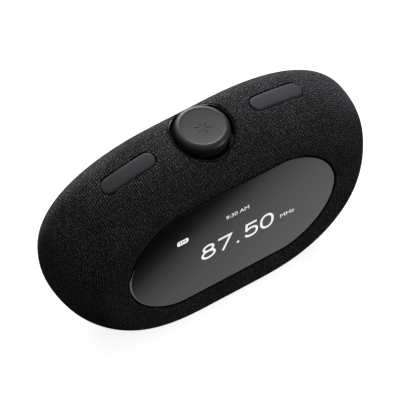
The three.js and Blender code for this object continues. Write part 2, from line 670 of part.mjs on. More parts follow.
makeFabricSleeve();
makeShell();
makeBase();
makeScrews();
makeDisplay();
makeMainBoard();
makeKnob();
makeButtons();
makeDriver('left', -1);
makeDriver('right', 1);
makePorts();

export default speaker;
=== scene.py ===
# %% [markdown]
# # A bedside smart speaker, one piece at a time
#
# The object is a pebble the length of a hand's span, wrapped in dark woven cloth. An oval
# smoked window is let into its flattened front, a press-and-turn knob stands in a dark well
# on the crown, and two bar buttons lie flush beside it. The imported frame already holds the
# shells, boards, drivers and screws at their true size, so this lesson makes what a hand
# and an eye meet first, the cloth, the window, the knob, the buttons and the underside, and
# then gives every part that is carried over a finish of its own.

# %% Load the frame and note its size
import math

import bmesh
import bpy
import numpy as np
from mathutils import Matrix, Vector


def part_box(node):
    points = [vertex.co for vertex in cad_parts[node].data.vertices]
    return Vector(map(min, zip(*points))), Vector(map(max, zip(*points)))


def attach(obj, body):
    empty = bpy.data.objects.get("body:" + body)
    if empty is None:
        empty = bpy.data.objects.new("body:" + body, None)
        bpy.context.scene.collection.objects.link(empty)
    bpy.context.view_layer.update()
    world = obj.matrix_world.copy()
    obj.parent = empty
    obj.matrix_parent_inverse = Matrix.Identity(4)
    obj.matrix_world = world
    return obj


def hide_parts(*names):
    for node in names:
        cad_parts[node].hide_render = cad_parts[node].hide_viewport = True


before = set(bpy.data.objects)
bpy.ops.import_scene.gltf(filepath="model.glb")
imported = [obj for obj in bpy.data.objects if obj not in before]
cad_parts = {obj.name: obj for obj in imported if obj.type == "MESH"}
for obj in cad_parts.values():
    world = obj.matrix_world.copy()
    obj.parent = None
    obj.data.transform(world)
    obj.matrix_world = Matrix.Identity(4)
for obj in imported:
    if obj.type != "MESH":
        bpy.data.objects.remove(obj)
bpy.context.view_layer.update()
bpy.ops.object.select_all(action="DESELECT")

# %% [markdown]
# The view is from well above and from the object's left, through a very long lens,
# so its parallel edges stay nearly parallel. Azimuth, elevation and roll are easier to read
# than three rotation angles, so the camera's axes are worked out from those.

# %% Camera
MM = 0.001
AZIMUTH = math.radians(-38.74)
ELEVATION = math.radians(52.79)
ROLL = math.radians(5.07)
CAMERA_DISTANCE = 3.12
CAMERA_LENS = 520.8
AIM = Vector((-2.7, -4.5, 52.8)) * MM

back = Vector((math.sin(AZIMUTH) * math.cos(ELEVATION),
               -math.cos(AZIMUTH) * math.cos(ELEVATION), math.sin(ELEVATION)))
level = Vector((math.cos(AZIMUTH), math.sin(AZIMUTH), 0))
upright = back.cross(level)
across = level * math.cos(ROLL) + upright * math.sin(ROLL)
above = upright * math.cos(ROLL) - level * math.sin(ROLL)

camera = bpy.data.objects.new("camera", bpy.data.cameras.new("camera"))
bpy.context.scene.collection.objects.link(camera)
camera.data.lens = CAMERA_LENS
camera.matrix_world = Matrix.Translation(AIM + back * CAMERA_DISTANCE) @ Matrix(
    (across, above, back)).transposed().to_4x4()
bpy.context.scene.camera = camera
print("the camera stands", round(CAMERA_DISTANCE, 2), "m away")

# %% [markdown]
# Everything on this speaker follows one surface, so the surface comes first, as a formula.
# Any section across the length is a squarish oval that leans back as it rises. The front is
# eased onto a flat plane, which carries the window, and the ends round off. `fullness` says
# how full a place is: below 1 is inside the body and above 1 is outside it.

# %% The body's surface
sleeve_low, sleeve_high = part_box("fabric_sleeve")
foot_low, foot_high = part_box("foot_pad")

HALF_LENGTH = sleeve_high.x
STRAIGHT_HALF = 18 * MM
END_POWER = 2.15
CROWN_RISE = 48.5 * MM
KEEL_DROP = 64 * MM
RISE_POWER = 2.15
FRONT_DEPTH, FRONT_POWER = 49 * MM, 2.35
BACK_DEPTH, BACK_POWER = 35 * MM, 2.25
BACK_FLARE = 9.0
LEAN = 0.205
BASE_LEVEL = sleeve_low.z
WAIST = Vector((0, 1.35 * MM, BASE_LEVEL + 56 * MM))
FACE_CENTRE = WAIST + Vector((0, -33.4, -4.1)) * MM
FACE_TILT = math.radians(6.4)
FACE_OUT = Vector((0, -math.cos(FACE_TILT), math.sin(FACE_TILT)))
FACE_UP = Vector((0, math.sin(FACE_TILT), math.cos(FACE_TILT)))
FACE_PROUD = 0.4 * MM
FACE_EASE = 3 * MM


def face_plane(z):
    """How far back the flat face lies at a level above the waist."""
    centre = FACE_CENTRE - WAIST
    return centre.y - FACE_PROUD + math.tan(FACE_TILT) * (z - centre.z)


def fullness(points):
    """Below 1 inside the body, 1 on its surface, above 1 outside it."""
    x, y, z = (np.asarray(points, float) - np.array(WAIST)).T
    room = np.maximum(y - face_plane(z), 1e-6)
    eased = y - FACE_EASE ** 2 / (4 * room)
    y = np.where(y - LEAN * z < 0, eased, y)
    lean = y - LEAN * z
    depth = np.where(lean < 0, FRONT_DEPTH, BACK_DEPTH * (1 - BACK_FLARE * z))
    power = np.where(lean < 0, FRONT_POWER, BACK_POWER)
    rise = np.where(z > 0, CROWN_RISE, KEEL_DROP)
    past = np.clip((np.abs(x) - STRAIGHT_HALF) / (HALF_LENGTH - STRAIGHT_HALF), 0, None)
    return past ** END_POWER + np.abs(lean / depth) ** power + np.abs(z / rise) ** RISE_POWER


def land(points, direction, reach=22 * MM):
    """Slides points along a direction until they lie on the surface."""
    points = np.asarray(points, float)
    direction = np.array(direction, float)
    inner = np.full(len(points), -reach)
    outer = np.full(len(points), reach)
    for _ in range(36):
        middle = (inner + outer) / 2
        inside = fullness(points + middle[:, None] * direction) < 1
        inner = np.where(inside, middle, inner)
        outer = np.where(inside, outer, middle)
    return points + ((inner + outer) / 2)[:, None] * direction


crown = land([WAIST + Vector((0, 0, CROWN_RISE))], (0, 0, 1))[0]
print("the crown stands", round(float(crown[2]) / MM, 1), "mm above the table")

# %% [markdown]
# Openings are cut in the cloth for the window, the knob's well, the buttons, the sockets and
# the foot. Each is an outline on a flat pattern that is laid against the body from one side.
# An outline is kept as a distance: below 0 inside it, 0 on the line, above 0 outside.

# %% Sizes of the openings
LENS_HALF = (66.7 * MM, 34.2 * MM)
LENS_FLAT_HALF = 31.8 * MM
LENS_END_POWER = 1.7
BASE_HALF = (61 * MM, 27 * MM)
BASE_Y = -10.3 * MM
PORT_HALF = (23 * MM, 7.5 * MM)
PORT_CORNER = 3 * MM
print("the window measures", [round(2 * size / MM) for size in LENS_HALF], "mm")

# %% [markdown]
# Four kinds of outline are enough here. A curve object could hold each, but a function is
# easier to grow, to shrink and to ask how far away it is. Each takes places (p, q) on its
# pattern, p to the right and q up, and gives back their distances.

# %% Kinds of outline
def circle_line(radius):
    return lambda p, q: np.hypot(p, q) - radius


def pill_line(length, width):
    straight = (length - width) / 2
    return lambda p, q: np.hypot(np.maximum(np.abs(p) - straight, 0), q) - width / 2


def rectangle_line(half, corner):
    def line(p, q):
        a = np.abs(p) - half[0] + corner
        b = np.abs(q) - half[1] + corner
        outside = np.hypot(np.maximum(a, 0), np.maximum(b, 0))
        return outside + np.minimum(np.maximum(a, b), 0) - corner
    return line


def oval_line(half, flat, end_power, side_power):
    """A squarish oval with a straight stretch along its middle."""
    def level_of(p, q):
        ends = np.maximum(np.abs(p) - flat, 0) / (half[0] - flat)
        return ends ** end_power + (np.abs(q) / half[1]) ** side_power

    def line(p, q):
        step = 0.05 * MM
        slope_p = (level_of(p + step, q) - level_of(p - step, q)) / (2 * step)
        slope_q = (level_of(p, q + step) - level_of(p, q - step)) / (2 * step)
        return (level_of(p, q) - 1) / np.maximum(np.hypot(slope_p, slope_q), 1e-3)
    return line


print("outlines are ready")

# %% [markdown]
# A pattern holds an outline in place. It can flatten places on the body onto itself, find
# the nearest place on its outline, and carry flat places back onto the body, which is what a
# tailor does with paper and pins.

# %% Patterns
class Pattern:
    """A flat pattern laid against the body: its middle, its two axes and its outline."""

    def __init__(self, middle, right, up, line, flat_base=False):
        self.middle = np.array(middle, float)
        self.right = np.array(right, float)
        self.up = np.array(up, float)
        self.out = np.cross(self.right, self.up)
        self.line = line
        self.flat_base = flat_base

    def flatten(self, points):
        offset = np.asarray(points, float) - self.middle
        return offset @ self.right, offset @ self.up

    def slope(self, p, q):
        step = 0.02 * MM
        along = self.line(p + step, q) - self.line(p - step, q)
        beside = self.line(p, q + step) - self.line(p, q - step)
        length = np.maximum(np.hypot(along, beside), 1e-12)
        return along / length, beside / length

    def to_line(self, p, q, inwards=0.0):
        """The nearest places on the outline, moved inwards by a distance."""
        for _ in range(8):
            away = self.line(p, q)
            slope_p, slope_q = self.slope(p, q)
            p, q = p - away * slope_p, q - away * slope_q
        slope_p, slope_q = self.slope(p, q)
        return p - inwards * slope_p, q - inwards * slope_q

    def onto_body(self, p, q):
        flat = self.middle + p[:, None] * self.right + q[:, None] * self.up
        if self.flat_base:
            return flat
        return land(flat, self.out)


print("patterns are ready")

# %% [markdown]
# Each opening is given its own pattern. All of them can be made a little larger or smaller,
# because the cloth's edge, the piece inside it and the gap between share one outline.

# %% Where the openings lie
KNOB_MIDDLE = WAIST + Vector((0, 1 * MM, CROWN_RISE))
WELL_RADIUS = 18.2 * MM
BUTTON_SIZE = (33.7 * MM, 9.4 * MM)
BUTTON_SPOTS = {side: WAIST + Vector((sign * 48.2 * MM, 0.3 * MM, 43 * MM))
                for side, sign in (("left", -1), ("right", 1))}
PORT_MIDDLE = WAIST + Vector((0, 31 * MM, -36 * MM))

X, Y, Z = Vector((1, 0, 0)), Vector((0, 1, 0)), Vector((0, 0, 1))


def window_pattern(grow=0.0):
    half = (LENS_HALF[0] + grow, LENS_HALF[1] + grow)
    return Pattern(FACE_CENTRE, X, FACE_UP, oval_line(half, LENS_FLAT_HALF, LENS_END_POWER, 2))


def well_pattern(grow=0.0):
    return Pattern(KNOB_MIDDLE, X, Y, circle_line(WELL_RADIUS + grow))


def button_pattern(side, grow=0.0):
    line = pill_line(BUTTON_SIZE[0] + 2 * grow, BUTTON_SIZE[1] + 2 * grow)
    return Pattern(BUTTON_SPOTS[side], X, Y, line)


def port_pattern(grow=0.0):
    half = (PORT_HALF[0] + grow, PORT_HALF[1] + grow)
    return Pattern(PORT_MIDDLE, -X, Z, rectangle_line(half, PORT_CORNER))


def base_pattern(grow=0.0):
    half = (BASE_HALF[0] + grow, BASE_HALF[1] + grow)
    middle = Vector((0, WAIST.y + BASE_Y, BASE_LEVEL))
    return Pattern(middle, X, -Y, oval_line(half, 0, END_POWER, RISE_POWER), flat_base=True)


print("the buttons stand", round(2 * BUTTON_SPOTS["right"].x / MM, 1), "mm apart")

# %% [markdown]
# ## The cloth
#
# The real cover is a woven sleeve pulled tight over the shell and glued at its edges. It
# could be a copy of the shell, but the shell's facets would show, and cloth needs thread
# lines that follow the body. So it starts as a flat sheet with many squares, as cloth does,
# and every corner of every square is carried onto the formula. The sheet's long edges meet
# under the keel, where a real sleeve has its seam.

# %% Wrap a flat sheet round the body
SHEET_ROWS = 172                 # squares from tip to tip
SHEET_TURNS = 196                # squares round the body
BASE_EASE = 2.2 * MM             # how softly the belly turns under to the flat base
BASE_REACH = 60 * MM             # where that turn has no more effect
MIDDLE_SHARE = 0.07              # share of the squares on each straight half
TIP_GATHER = 2.3                 # how closely the squares gather at the tips


def body_point(length_share, turn_share):
    """A place on the surface. Shares run from 0 to 1, tip to tip and round from the keel."""
    side = np.where(length_share < 0.5, -1.0, 1.0)
    along = 1 - np.abs(2 * length_share - 1)
    on_end = np.clip(along / (1 - 2 * MIDDLE_SHARE), 0, 1)
    swell = np.sin(on_end * math.pi / 2) ** TIP_GATHER
    reach = np.maximum(1 - swell, 0) ** (1 / END_POWER)
    inner = np.clip((along - (1 - 2 * MIDDLE_SHARE)) / (2 * MIDDLE_SHARE), 0, 1)
    x = side * (STRAIGHT_HALF * (1 - inner) + (HALF_LENGTH - STRAIGHT_HALF) * reach)
    turn = 2 * math.pi * turn_share - math.pi / 2
    cosine, sine = np.cos(turn), np.sin(turn)
    front = cosine < 0
    power = np.where(front, FRONT_POWER, BACK_POWER)
    wide = np.sign(cosine) * np.abs(cosine) ** (2 / power)
    up = np.sign(sine) * np.abs(sine) ** (2 / RISE_POWER)
    z = np.where(sine > 0, CROWN_RISE, KEEL_DROP) * up * swell ** (1 / RISE_POWER)
    depth = np.where(front, FRONT_DEPTH, BACK_DEPTH * (1 - BACK_FLARE * z))
    y = depth * wide * swell ** (1 / power) + LEAN * z
    plane = face_plane(z)
    y = np.where(front, (y + plane + np.hypot(y - plane, FACE_EASE)) / 2, y)
    base = BASE_LEVEL - WAIST.z
    z = (z + base + np.hypot(z - base, BASE_EASE)) / 2 - BASE_EASE ** 2 / (4 * BASE_REACH)
    z = np.maximum(z, base)
    return np.stack([x, y, z], -1) + np.array(WAIST)


tip = body_point(np.array([1.0]), np.array([0.25]))[0]
print("the right tip lies", round(float(tip[0]) / MM, 1), "mm from the middle")

# %% [markdown]
# The same few steps come up with every piece: choose one object alone, open it for editing
# with nothing chosen, close it again, and set its corners down in their places.

# %% Small helpers, and the sheet
def only(piece):
    """Makes one object the selected and active one."""
    bpy.ops.object.select_all(action="DESELECT")
    piece.select_set(True)
    bpy.context.view_layer.objects.active = piece


def edit(piece, mode="VERT"):
    """Opens a piece for editing with nothing selected."""
    only(piece)
    bpy.ops.object.mode_set(mode="EDIT")
    bpy.ops.mesh.select_mode(type=mode)
    bpy.ops.mesh.select_all(action="DESELECT")


def leave_edit():
    bpy.ops.object.mode_set(mode="OBJECT")


def place_corners(piece, places):
    """Sets every corner of a mesh down in its place."""
    piece.data.vertices.foreach_set("co", np.asarray(places).astype(np.float32).ravel())


bpy.ops.mesh.primitive_grid_add(x_subdivisions=SHEET_ROWS, y_subdivisions=SHEET_TURNS, size=1,
                                calc_uvs=True)
cloth = bpy.context.object
cloth.name = "woven_cover"
flat_places = np.array([v.co for v in cloth.data.vertices], float)[:, :2] + 0.5
wrapped = body_point(flat_places[:, 0], flat_places[:, 1])
place_corners(cloth, wrapped)
cloth.data.update()
print("the sheet has", len(cloth.data.polygons), "squares")

# %% [markdown]
# The weave must keep its pitch all over, so the sheet's own map is measured in metres of
# cloth: how far a place lies from the middle along its lengthwise thread, and how far round
# from the crown along its crosswise thread.

# %% Measure the cloth along its threads
grid = np.empty((SHEET_ROWS + 1, SHEET_TURNS + 1, 3))
row_index = np.rint(flat_places[:, 0] * SHEET_ROWS).astype(int)
turn_index = np.rint(flat_places[:, 1] * SHEET_TURNS).astype(int)
grid[row_index, turn_index] = wrapped
lengthwise = np.zeros(grid.shape[:2])
lengthwise[1:] = np.cumsum(np.linalg.norm(np.diff(grid, axis=0), axis=2), axis=0)
lengthwise -= lengthwise[SHEET_ROWS // 2]
crosswise = np.zeros(grid.shape[:2])
crosswise[:, 1:] = np.cumsum(np.linalg.norm(np.diff(grid, axis=1), axis=2), axis=1)
crosswise -= crosswise[:, [SHEET_TURNS // 2]]
thread_map = np.stack([lengthwise[row_index, turn_index], crosswise[row_index, turn_index]], 1)

uv_layer = cloth.data.uv_layers.active
uv_layer.name = "threads"
corner_vertices = np.zeros(len(cloth.data.loops), int)
cloth.data.loops.foreach_get("vertex_index", corner_vertices)
uv_layer.data.foreach_set("uv", thread_map[corner_vertices].astype(np.float32).ravel())

# %% [markdown]
# The seam under the keel and the two tips are closed by merging corners that meet. Then the
# openings are cut: threads that run near an outline are pulled onto it, what lies inside is
# cut away, and the cut edge is rolled into the body, because the real cloth is tucked round
# the edge of each opening and shows no raw end.

# %% Ways to cut an opening
ROLL_RADIUS = 0.7 * MM           # the roll of the cloth at an edge
TUCK = 1.3 * MM                  # how far it then runs straight into the body
NEAR = 0.85 * MM                 # threads this close are pulled onto an outline
SIDE_REACH = 24 * MM             # how deep into the body a pattern still cuts
EDGE_BAND = 2.5 * MM             # open edges this close belong to the opening


def near_side(pattern, points):
    """True for points on the side of the body that a pattern is laid against."""
    offset = (np.asarray(points) - pattern.middle) @ pattern.out
    return np.abs(offset) < SIDE_REACH


def cut_opening(piece, pattern):
    """Cuts a pattern's outline out of the cloth and rolls the edge."""
    edit(piece)
    mesh = bmesh.from_edit_mesh(piece.data)
    points = np.array([v.co for v in mesh.verts])
    p, q = pattern.flatten(points)
    away = np.where(near_side(pattern, points), pattern.line(p, q), 1.0)
    close = np.flatnonzero(np.abs(away) < NEAR)
    pulled = pattern.onto_body(*pattern.to_line(p[close], q[close]))
    vertices = list(mesh.verts)
    for index, place in zip(close, pulled):
        vertices[index].co = place
    away[close] = 0
    for index, vertex in enumerate(vertices):
        vertex.index = index
    for face in mesh.faces:
        share = sum(away[v.index] for v in face.verts) / len(face.verts)
        face.select = bool(share < -1e-6) or all(abs(away[v.index]) < 1e-9 for v in face.verts) \
            and pattern_inside(pattern, face)
    bmesh.update_edit_mesh(piece.data)
    bpy.ops.mesh.select_mode(type="FACE")
    bpy.ops.mesh.delete(type="FACE")
    roll_edge(piece, pattern)
    leave_edit()


def pattern_inside(pattern, face):
    p, q = pattern.flatten(np.array([face.calc_center_median()]))
    return bool(pattern.line(p, q)[0] < 0)


def open_edges(mesh, pattern):
    found = []
    for edge in mesh.edges:
        if edge.is_boundary:
            ends = np.array([v.co for v in edge.verts])
            p, q = pattern.flatten(ends)
            if near_side(pattern, ends).all() and (np.abs(pattern.line(p, q)) < EDGE_BAND).all():
                found.append(edge)
    return found


def roll_edge(piece, pattern):
    """Turns the cut edge into the body round a small radius, then tucks it straight in."""
    turns = [(math.sin(a), 1 - math.cos(a)) for a in np.radians((0, 30, 60, 90))]
    steps = [(ROLL_RADIUS * inward, ROLL_RADIUS * down) for inward, down in turns]
    steps.append((ROLL_RADIUS, ROLL_RADIUS + TUCK))
    bpy.ops.mesh.select_mode(type="EDGE")
    bpy.ops.mesh.select_all(action="DESELECT")
    mesh = bmesh.from_edit_mesh(piece.data)
    for edge in open_edges(mesh, pattern):
        edge.select = True
    bmesh.update_edit_mesh(piece.data)
    for step, (inward, down) in enumerate(steps):
        if step:
            bpy.ops.mesh.extrude_edges_move()
        mesh = bmesh.from_edit_mesh(piece.data)
        chosen = [v for v in mesh.verts if v.select]
        p, q = pattern.flatten(np.array([v.co for v in chosen]))
        places = pattern.onto_body(*pattern.to_line(p, q, inward)) - down * pattern.out
        for vertex, place in zip(chosen, places):
            vertex.co = place
        bmesh.update_edit_mesh(piece.data)


print("the rolled edge takes", round((ROLL_RADIUS * math.pi / 2 + TUCK) / MM, 1), "mm of cloth")

# %% [markdown]
# Each opening is a little wider than the piece that fills it, so a fine dark gap shows round
# the piece. Under the body the cloth turns onto the flat base and ends inside its edge.

# %% Close the seam and cut the openings
edit(cloth)
bpy.ops.mesh.select_all(action="SELECT")
bpy.ops.mesh.remove_doubles(threshold=0.02 * MM)
leave_edit()
WINDOW_GAP, WELL_GAP, BUTTON_GAP, PORT_GAP, BASE_GAP = np.array((1.1, 0.9, 0.75, 0.8, -6)) * MM
for opening in (window_pattern(WINDOW_GAP), well_pattern(WELL_GAP),
                button_pattern("left", BUTTON_GAP), button_pattern("right", BUTTON_GAP),
                port_pattern(PORT_GAP), base_pattern(BASE_GAP)):
    cut_opening(cloth, opening)
print("the cut cloth has", len(cloth.data.polygons), "faces")

# %% [markdown]
# So far the cloth is a skin with no thickness. Its faces are turned outwards first, because
# the thickness grows towards the body. The part that is tucked in gets a slot of its own, so
# that it can be darker.

# %% Give the cloth its thickness
CLOTH_THICKNESS = 0.5 * MM
TUCKED_FULLNESS = 0.985          # cloth that lies deeper than this is tucked in
HEM_RISE = 3 * MM                # but not the cloth that turns under the belly


def apply_modifier(piece, kind, **settings):
    """Adds a modifier with its settings and makes its result the mesh."""
    only(piece)
    modifier = piece.modifiers.new(kind.lower(), kind)
    for name, value in settings.items():
        setattr(modifier, name, value)
    bpy.ops.object.modifier_apply(modifier=modifier.name)


def face_outwards(piece):
    edit(piece, "FACE")
    bpy.ops.mesh.select_all(action="SELECT")
    bpy.ops.mesh.normals_make_consistent(inside=False)
    leave_edit()


face_outwards(cloth)
middles = np.array([face.center for face in cloth.data.polygons])
# Faces tucked into the body take the second slot, which is painted near black as the shade in the gap
# round each opening.
tucked = (fullness(middles) < TUCKED_FULLNESS) & (middles[:, 2] > BASE_LEVEL + HEM_RISE)
cloth.data.materials.append(None)
cloth.data.materials.append(None)
cloth.data.polygons.foreach_set("material_index", tucked.astype(np.int32))
apply_modifier(cloth, "SOLIDIFY", thickness=CLOTH_THICKNESS, offset=-1, use_even_offset=False)
only(cloth)
bpy.ops.object.shade_smooth()
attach(cloth, "housing")
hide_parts("fabric_sleeve")

# %% [markdown]
# ## A way to raise a solid from its outline
#
# The window, the knob, its well, the buttons and the foot are all moulded or turned, so each
# can be drawn as one outline that is extruded ring by ring, as a potter raises a wall. The
# first and last rings may shrink to a point or a line, which closes the solid.

# %% Raise a solid ring by ring
def raise_rings(name, rings):
    """Extrudes a circle's edge through rings of places and closes it."""
    bpy.ops.object.select_all(action="DESELECT")
    bpy.ops.mesh.primitive_circle_add(vertices=len(rings[0]), radius=MM)
    piece = bpy.context.object
    piece.name = name
    edit(piece, "EDGE")
    mesh = bmesh.from_edit_mesh(piece.data)
    spot = mesh.verts.layers.int.new("spot")
    for vertex in mesh.verts:
        vertex[spot] = vertex.index
    bpy.ops.mesh.select_all(action="SELECT")
    for ring, places in enumerate(rings):
        if ring:
            bpy.ops.mesh.extrude_edges_move()
        mesh = bmesh.from_edit_mesh(piece.data)
        spot = mesh.verts.layers.int["spot"]
        for vertex in mesh.verts:
            if vertex.select:
                vertex.co = places[vertex[spot]]
        bmesh.update_edit_mesh(piece.data)
    bpy.ops.mesh.select_all(action="SELECT")
    bpy.ops.mesh.remove_doubles(threshold=0.004 * MM)
    bpy.ops.mesh.select_all(action="SELECT")
    bpy.ops.mesh.normals_make_consistent(inside=False)
    leave_edit()
    piece.data.attributes.remove(piece.data.attributes["spot"])
    only(piece)
    bpy.ops.object.shade_smooth_by_angle(angle=math.radians(32))
    return piece


def even_angles(count):
    """Angles spread evenly, and mirrored left to right and top to bottom."""
    return (np.arange(count) + 0.5) * 2 * math.pi / count


def pattern_rings(pattern, size, profile, count, on_body=True):
    """Rings for a profile of (inwards, height) pairs. A profile entry of None is the middle."""
    angles = even_angles(count)
    p, q = pattern.to_line(size[0] * np.cos(angles), size[1] * np.sin(angles))
    rings = []
    for inwards, height in profile:
        if inwards is None:
            moved = (p * 0, q * 0)
        else:
            moved = pattern.to_line(p, q, inwards)
        if on_body:
            places = pattern.onto_body(*moved)
        else:
            places = pattern.middle + moved[0][:, None] * pattern.right \
                + moved[1][:, None] * pattern.up
        rings.append(places + height * pattern.out)
    return rings


def turned_rings(middle, profile, count=144):
    """Rings for a profile of (radius, height above the middle) pairs, as on a lathe."""
    angles = np.arange(count) * 2 * math.pi / count
    circle = np.stack([np.cos(angles), np.sin(angles), 0 * angles], 1)
    rise = np.array([0, 0, 1.0])
    return [np.array(middle) + radius * circle + height * rise for radius, height in profile]


print("ready to raise rings")

# %% [markdown]
# Every finished piece is tied to what it moves with, and the plain parts of the frame that it
# stands in for are hidden.

# %% A way to settle a piece
def settle(piece, body, slot, *nodes):
    """Says what a piece moves with and which plain parts it replaces. The slot is not used."""
    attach(piece, body)
    if nodes:
        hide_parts(*nodes)
    return piece


# %% [markdown]
# ## The window
#
# The window is a moulded acrylic lens, flat in front, with a narrow bevel round its
# edge. Its outline is stepped inwards for the
# bevel, so the bevel keeps its width all the way round.

# %% The window
LENS_THICKNESS = 1.8 * MM
LENS_CORNERS = 220               # corners in each ring of the window
window_profile = [(None, -LENS_THICKNESS), (0.2 * MM, -LENS_THICKNESS),
                  (0, -LENS_THICKNESS + 0.2 * MM), (0, -0.42 * MM), (0.1 * MM, -0.2 * MM),
                  (0.36 * MM, -0.04 * MM), (0.5 * MM, 0), (None, 0)]
lens = raise_rings("window_lens", pattern_rings(window_pattern(), LENS_HALF, window_profile,
                                                LENS_CORNERS, False))
settle(lens, "housing", "lens", "display_lens")
print("the window has", len(lens.data.polygons), "faces")

# %% [markdown]
# ## The knob and its well
#
# The knob is turned: a shallow dish for the fingertip, a fine step round it, a full round
# shoulder and a slightly drawn-in skirt. The well is a dark cup whose rim follows the crown,
# so its wall is raised to the body's surface and turned over into a thin lip.

# %% The knob
cap_low, cap_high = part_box("knob_cap")
CAP_RADIUS = (cap_high.x - cap_low.x) / 2
CAP_HEIGHT = cap_high.z - cap_low.z
cap_middle = Vector((0, (cap_low.y + cap_high.y) / 2, cap_high.z))
cap_profile = [(0, -CAP_HEIGHT), (CAP_RADIUS - 1.2 * MM, -CAP_HEIGHT),
               (CAP_RADIUS - 0.7 * MM, -CAP_HEIGHT + 0.2 * MM),
               (CAP_RADIUS - 0.5 * MM, -CAP_HEIGHT + 0.7 * MM), (CAP_RADIUS, -3.2 * MM)]
SHOULDER = Vector((2.95, 2.6)) * MM
SIDE_FLATNESS, TOP_FLATNESS = 0.85, 1.1
for lift in np.radians((0, 14, 28, 42, 56, 70, 82)):
    cap_profile.append((CAP_RADIUS - SHOULDER.x * (1 - math.cos(lift) ** SIDE_FLATNESS),
                        -SHOULDER.y * (1 - math.sin(lift) ** TOP_FLATNESS)))
cap_profile += [(CAP_RADIUS - 2.75 * MM, 0), (CAP_RADIUS - 2.95 * MM, 0),
                (CAP_RADIUS - 3.15 * MM, -0.05 * MM), (CAP_RADIUS - 3.35 * MM, -0.09 * MM),
                (CAP_RADIUS - 3.9 * MM, -0.13 * MM), (8 * MM, -0.3 * MM), (4 * MM, -0.38 * MM),
                (0, -0.4 * MM)]
knob = raise_rings("turning_knob", turned_rings(cap_middle, cap_profile))
settle(knob, "knob", "knob", "knob_cap")
print("the knob is", round(2 * CAP_RADIUS / MM, 1), "mm across")

# %% [markdown]
# A small raised mark in the dish lets a finger feel how the knob stands. It is a plain star
# of short rays. One profile serves all the rays, each on a pattern turned to its own angle,
# and the rays are joined into one piece that rides on the knob.

# %% The mark on the knob
MARK_RAYS = 6
RAY_SIZE = (3.1 * MM, 0.85 * MM)
RAY_REACH = 3.0 * MM             # from the knob's middle to the middle of a ray
RAY_LEVEL = -0.44 * MM           # the rays' level, measured from the cap's top
rays = []
for ray_turn in range(MARK_RAYS):
    turn = math.radians(90 + ray_turn * 360 / MARK_RAYS)
    along_ray = Vector((math.cos(turn), math.sin(turn), 0))
    ray_spot = cap_middle + along_ray * RAY_REACH + Z * RAY_LEVEL
    ray_pattern = Pattern(ray_spot, along_ray, Z.cross(along_ray), pill_line(*RAY_SIZE))
    ray_profile = [(RAY_SIZE[1] / 2, -0.2 * MM), (0, -0.2 * MM), (0, 0.1 * MM),
                   (0.12 * MM, 0.2 * MM), (RAY_SIZE[1] / 2, 0.22 * MM)]
    rays.append(raise_rings("ray", pattern_rings(ray_pattern, (2 * MM, MM), ray_profile, 24, False)))
only(rays[0])
for ray in rays:
    ray.select_set(True)
bpy.ops.object.join()
mark = bpy.context.object
mark.name = "knob_mark"
settle(mark, "knob", "knob")
print("the mark has", MARK_RAYS, "rays")

# %% [markdown]
# The well can't be turned as the knob is, because its rim rises and falls with the crown. So
# its lip is laid on the body by the well's pattern, its floor is made of level rings, and
# both kinds of ring go into one solid with a hole for the shaft.

# %% The well
well_low, well_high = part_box("knob_well")
shaft_low, shaft_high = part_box("knob_shaft")
WELL_FLOOR = cap_low.z - 1.2 * MM
HOLE_RADIUS = (shaft_high.x - shaft_low.x) / 2 + 0.6 * MM
WELL_CORNERS = 144
lip = pattern_rings(well_pattern(), (WELL_RADIUS, WELL_RADIUS),
                    [(0, -0.6 * MM), (0.12 * MM, -0.3 * MM), (0.4 * MM, -0.2 * MM),
                     (0.7 * MM, -0.28 * MM), (0.9 * MM, -0.7 * MM)], WELL_CORNERS)


def level_ring(radius, z):
    angles = even_angles(WELL_CORNERS)
    return np.stack([KNOB_MIDDLE.x + radius * np.cos(angles),
                     KNOB_MIDDLE.y + radius * np.sin(angles), 0 * angles + z], 1)


well_rings = [level_ring(WELL_RADIUS, well_low.z), *lip,
              level_ring(WELL_RADIUS - 0.9 * MM, WELL_FLOOR + 0.8 * MM),
              level_ring(WELL_RADIUS - 1.15 * MM, WELL_FLOOR + 0.22 * MM),
              level_ring(WELL_RADIUS - 1.8 * MM, WELL_FLOOR),
              level_ring(HOLE_RADIUS, WELL_FLOOR), level_ring(HOLE_RADIUS, well_low.z),
              level_ring(WELL_RADIUS, well_low.z)]
cup = raise_rings("knob_cup", well_rings)
settle(cup, "housing", "well", "knob_well")
print("the well is", round((well_high.z - WELL_FLOOR) / MM, 1), "mm deep")

# %% [markdown]
# ## The buttons
#
# Each button is a soft bar moulded to the crown's curve, so its face is laid on the body's
# surface like the cloth beside it and stands a hair proud of it. The two bars are modelled
# by one loop because they differ only in their place.

# %% The buttons
PAD_GAP = 0.3 * MM
PAD_DEPTH = 2.6 * MM
PAD_START = (17 * MM, 5 * MM)    # a rough oval, from which the outline is found
button_profile = [(BUTTON_SIZE[1] / 2 - PAD_GAP, -PAD_DEPTH), (0, -PAD_DEPTH), (0, -0.25 * MM),
                  (0.06 * MM, -0.02 * MM), (0.2 * MM, 0.14 * MM), (0.42 * MM, 0.24 * MM),
                  (0.8 * MM, 0.28 * MM), (2.0 * MM, 0.3 * MM), (3.2 * MM, 0.3 * MM),
                  (BUTTON_SIZE[1] / 2 - PAD_GAP, 0.3 * MM)]
for side in BUTTON_SPOTS:
    pad_pattern = button_pattern(side, -PAD_GAP)
    rings = pattern_rings(pad_pattern, PAD_START, button_profile, 120)
    pad = raise_rings(side + "_bar", rings)
    settle(pad, side + "_button", "button", side + "_button")
    print("the", side, "bar has", len(pad.data.polygons), "faces")

# %% [markdown]
# ## The socket frame
#
# The sockets on the back sit in a moulded frame that follows the curve of the body. A small
# sheet is laid on the body and thickened, then trimmed with a rounded block and pierced for
# each socket. Boolean cuts are used because the frame's edges don't follow the sheet's lines.

